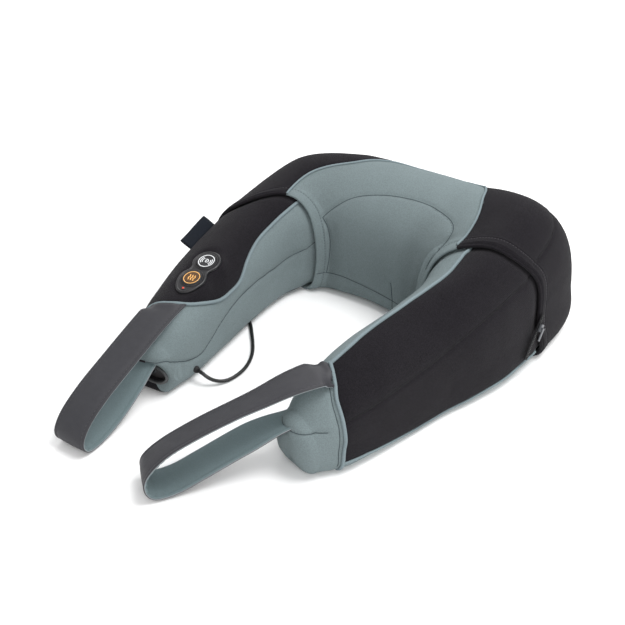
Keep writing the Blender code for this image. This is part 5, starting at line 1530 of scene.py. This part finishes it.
def build_zip():
    place = zip_place()
    half = ZIP_WIDTH / 2
    outline = ((-half, 0.0002), (-half + 0.0003, 0.0), (half - 0.0003, 0.0), (half, 0.0002), (half, 0.0007),
               (half - 0.0006, 0.0010), (0.0016, 0.0009), (0.0, 0.0007), (-0.0016, 0.0009), (-half + 0.0006, 0.0010),
               (-half, 0.0007))
    rows = [(0.0002 * math.sin(y * 300.0), y, 0.0) for y in np.linspace(0.0, ZIP_LENGTH, 40)]
    up = np.tile(place.normal, (len(rows), 1))
    tape = swept("zip_tape_cloth", place.out(rows), outline, "zip_cloth", up=up)
    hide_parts("zip_tape")
    vertices = []
    faces = []
    for k in range(int((ZIP_LENGTH - 0.002) / TOOTH_PITCH)):
        y = 0.0012 + k * TOOTH_PITCH
        shift = 0.0005 if k % 2 else -0.0005
        base = len(vertices)
        for i in range(TOOTH_RINGS):
            angle = math.pi * i / (TOOTH_RINGS - 1)
            x = shift - TOOTH_WIDTH / 2 * math.cos(angle)
            height = 0.0007 + 0.00055 * math.sin(angle)
            for a, b in TOOTH_SECTION:
                vertices.append((x, y + a, height + b))
        faces += tube_faces(TOOTH_RINGS, len(TOOTH_SECTION), base)
    fix_normals(add_mesh("zip_teeth", place.out(vertices), faces, ["zip_coil"]))


build_zip()


# ------------------------------------------------------------------ CAD nodes that stay in view or inside

NODE_FINISH = {
    "control_housing": "satin_black", "control_board": "circuit_board", "massage_switch": "case_grey",
    "heat_switch": "case_grey", "status_lamp": "lamp_red", "port_housing": "satin_black", "power_jack": "nickel",
    "cord_gland": "rubber_black", "coil_tie": "rubber_black", "inline_socket": "satin_black", "collar_foam": "foam",
    "wiring_harness": "cord_black", "gearbox_front": "case_grey", "gearbox_rear": "case_grey", "motor_can": "steel",
    "motor_end_cap": "white_plastic", "motor_shaft": "steel", "zip_slider": "nickel", "zip_pull": "nickel",
}
for number in range(1, 5):
    NODE_FINISH["case_screw_%d" % number] = "steel"
for side in ("left", "right"):
    NODE_FINISH.update({
        side + "_worm": "brass", side + "_worm_wheel": "acetal",
        side + "_axle": "steel", side + "_head_arm": "case_grey",
        side + "_upper_node": "node_grey", side + "_lower_node": "node_grey", side + "_upper_pin": "steel",
        side + "_lower_pin": "steel", side + "_heat_post": "white_plastic", side + "_heat_lamp": "lamp_red",
        side + "_front_bush": "bronze", side + "_rear_bush": "bronze",
    })
SOFTENED = ("inline_socket", "coil_tie", "zip_slider", "zip_pull", "cord_gland")
for name, finish in NODE_FINISH.items():
    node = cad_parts[name]
    node.data.materials.clear()
    node.data.materials.append(MATERIALS[finish])
    if name in SOFTENED:
        rounding = node.modifiers.new("rounded_edges", 'BEVEL')
        rounding.width = 0.00025
        rounding.segments = 2
        rounding.limit_method = 'ANGLE'
        rounding.angle_limit = math.radians(35)


# ------------------------------------------------------------------ floor, light, camera

FLOOR_RADIUS = 3.0
FLOOR_SIDES = 40


def build_floor():
    """A flat, pale, round floor."""
    rim = [(x, y, 0.0) for x, y in circle_outline(FLOOR_RADIUS, FLOOR_SIDES)]
    faces = [(0, k + 1, (k + 1) % FLOOR_SIDES + 1) for k in range(FLOOR_SIDES)]
    mesh = bpy.data.meshes.new("studio_floor")
    mesh.from_pydata([(0.0, 0.0, 0.0), *rim], [], faces)
    finish = Finish("studio_white", linear(250, 250, 250), 0.9, Specular_IOR_Level=0.1)
    finish.set_colour(finish.tint(finish.noise(3.0), 0.995, 1.0, 0.2))
    mesh.materials.append(finish.material)
    show("studio_floor", mesh)


def area_light(name, place, aim, size, power):
    data = bpy.data.lights.new(name, 'AREA')
    data.shape = 'DISK'
    data.size = size
    data.energy = power
    light = show(name, data)
    light.location = place
    light.rotation_euler = (Vector(aim) - Vector(place)).to_track_quat('-Z', 'Y').to_euler()


def set_world(strength):
    world = bpy.data.worlds.new("studio")
    world.use_nodes = True
    world.node_tree.nodes["Background"].inputs["Color"].default_value = (1.0, 1.0, 1.0, 1.0)
    world.node_tree.nodes["Background"].inputs["Strength"].default_value = strength
    bpy.context.scene.world = world


CAMERA_AZIMUTH = math.radians(40.0)
CAMERA_ELEVATION = math.radians(38.0)
CAMERA_DISTANCE = 1.2
CAMERA_LENS = 69.12


def set_camera():
    data = bpy.data.cameras.new("studio_camera")
    data.sensor_width = 36.0
    data.lens = CAMERA_LENS
    camera = show("studio_camera", data)
    aim = Vector((0.0, 0.0, 0.05)) - Vector(ORIGIN.tolist())
    level = math.cos(CAMERA_ELEVATION)
    across = (math.sin(CAMERA_AZIMUTH) * level, -math.cos(CAMERA_AZIMUTH) * level)
    back = Vector((*across, math.sin(CAMERA_ELEVATION)))
    camera.location = aim + back * CAMERA_DISTANCE
    camera.rotation_euler = back.to_track_quat('Z', 'Y').to_euler()
    bpy.context.scene.camera = camera


build_floor()
set_world(0.86)
area_light("key_light", (0.55, 0.45, 1.7), (0.0, 0.0, 0.05), 1.0, 24.0)
area_light("fill_light", (1.3, -0.9, 0.9), (0.0, 0.0, 0.05), 1.2, 8.0)
area_light("rim_light", (-0.9, 1.3, 0.8), (0.0, 0.0, 0.08), 0.8, 6.0)
set_camera()
bpy.context.scene.view_settings.view_transform = 'Standard'
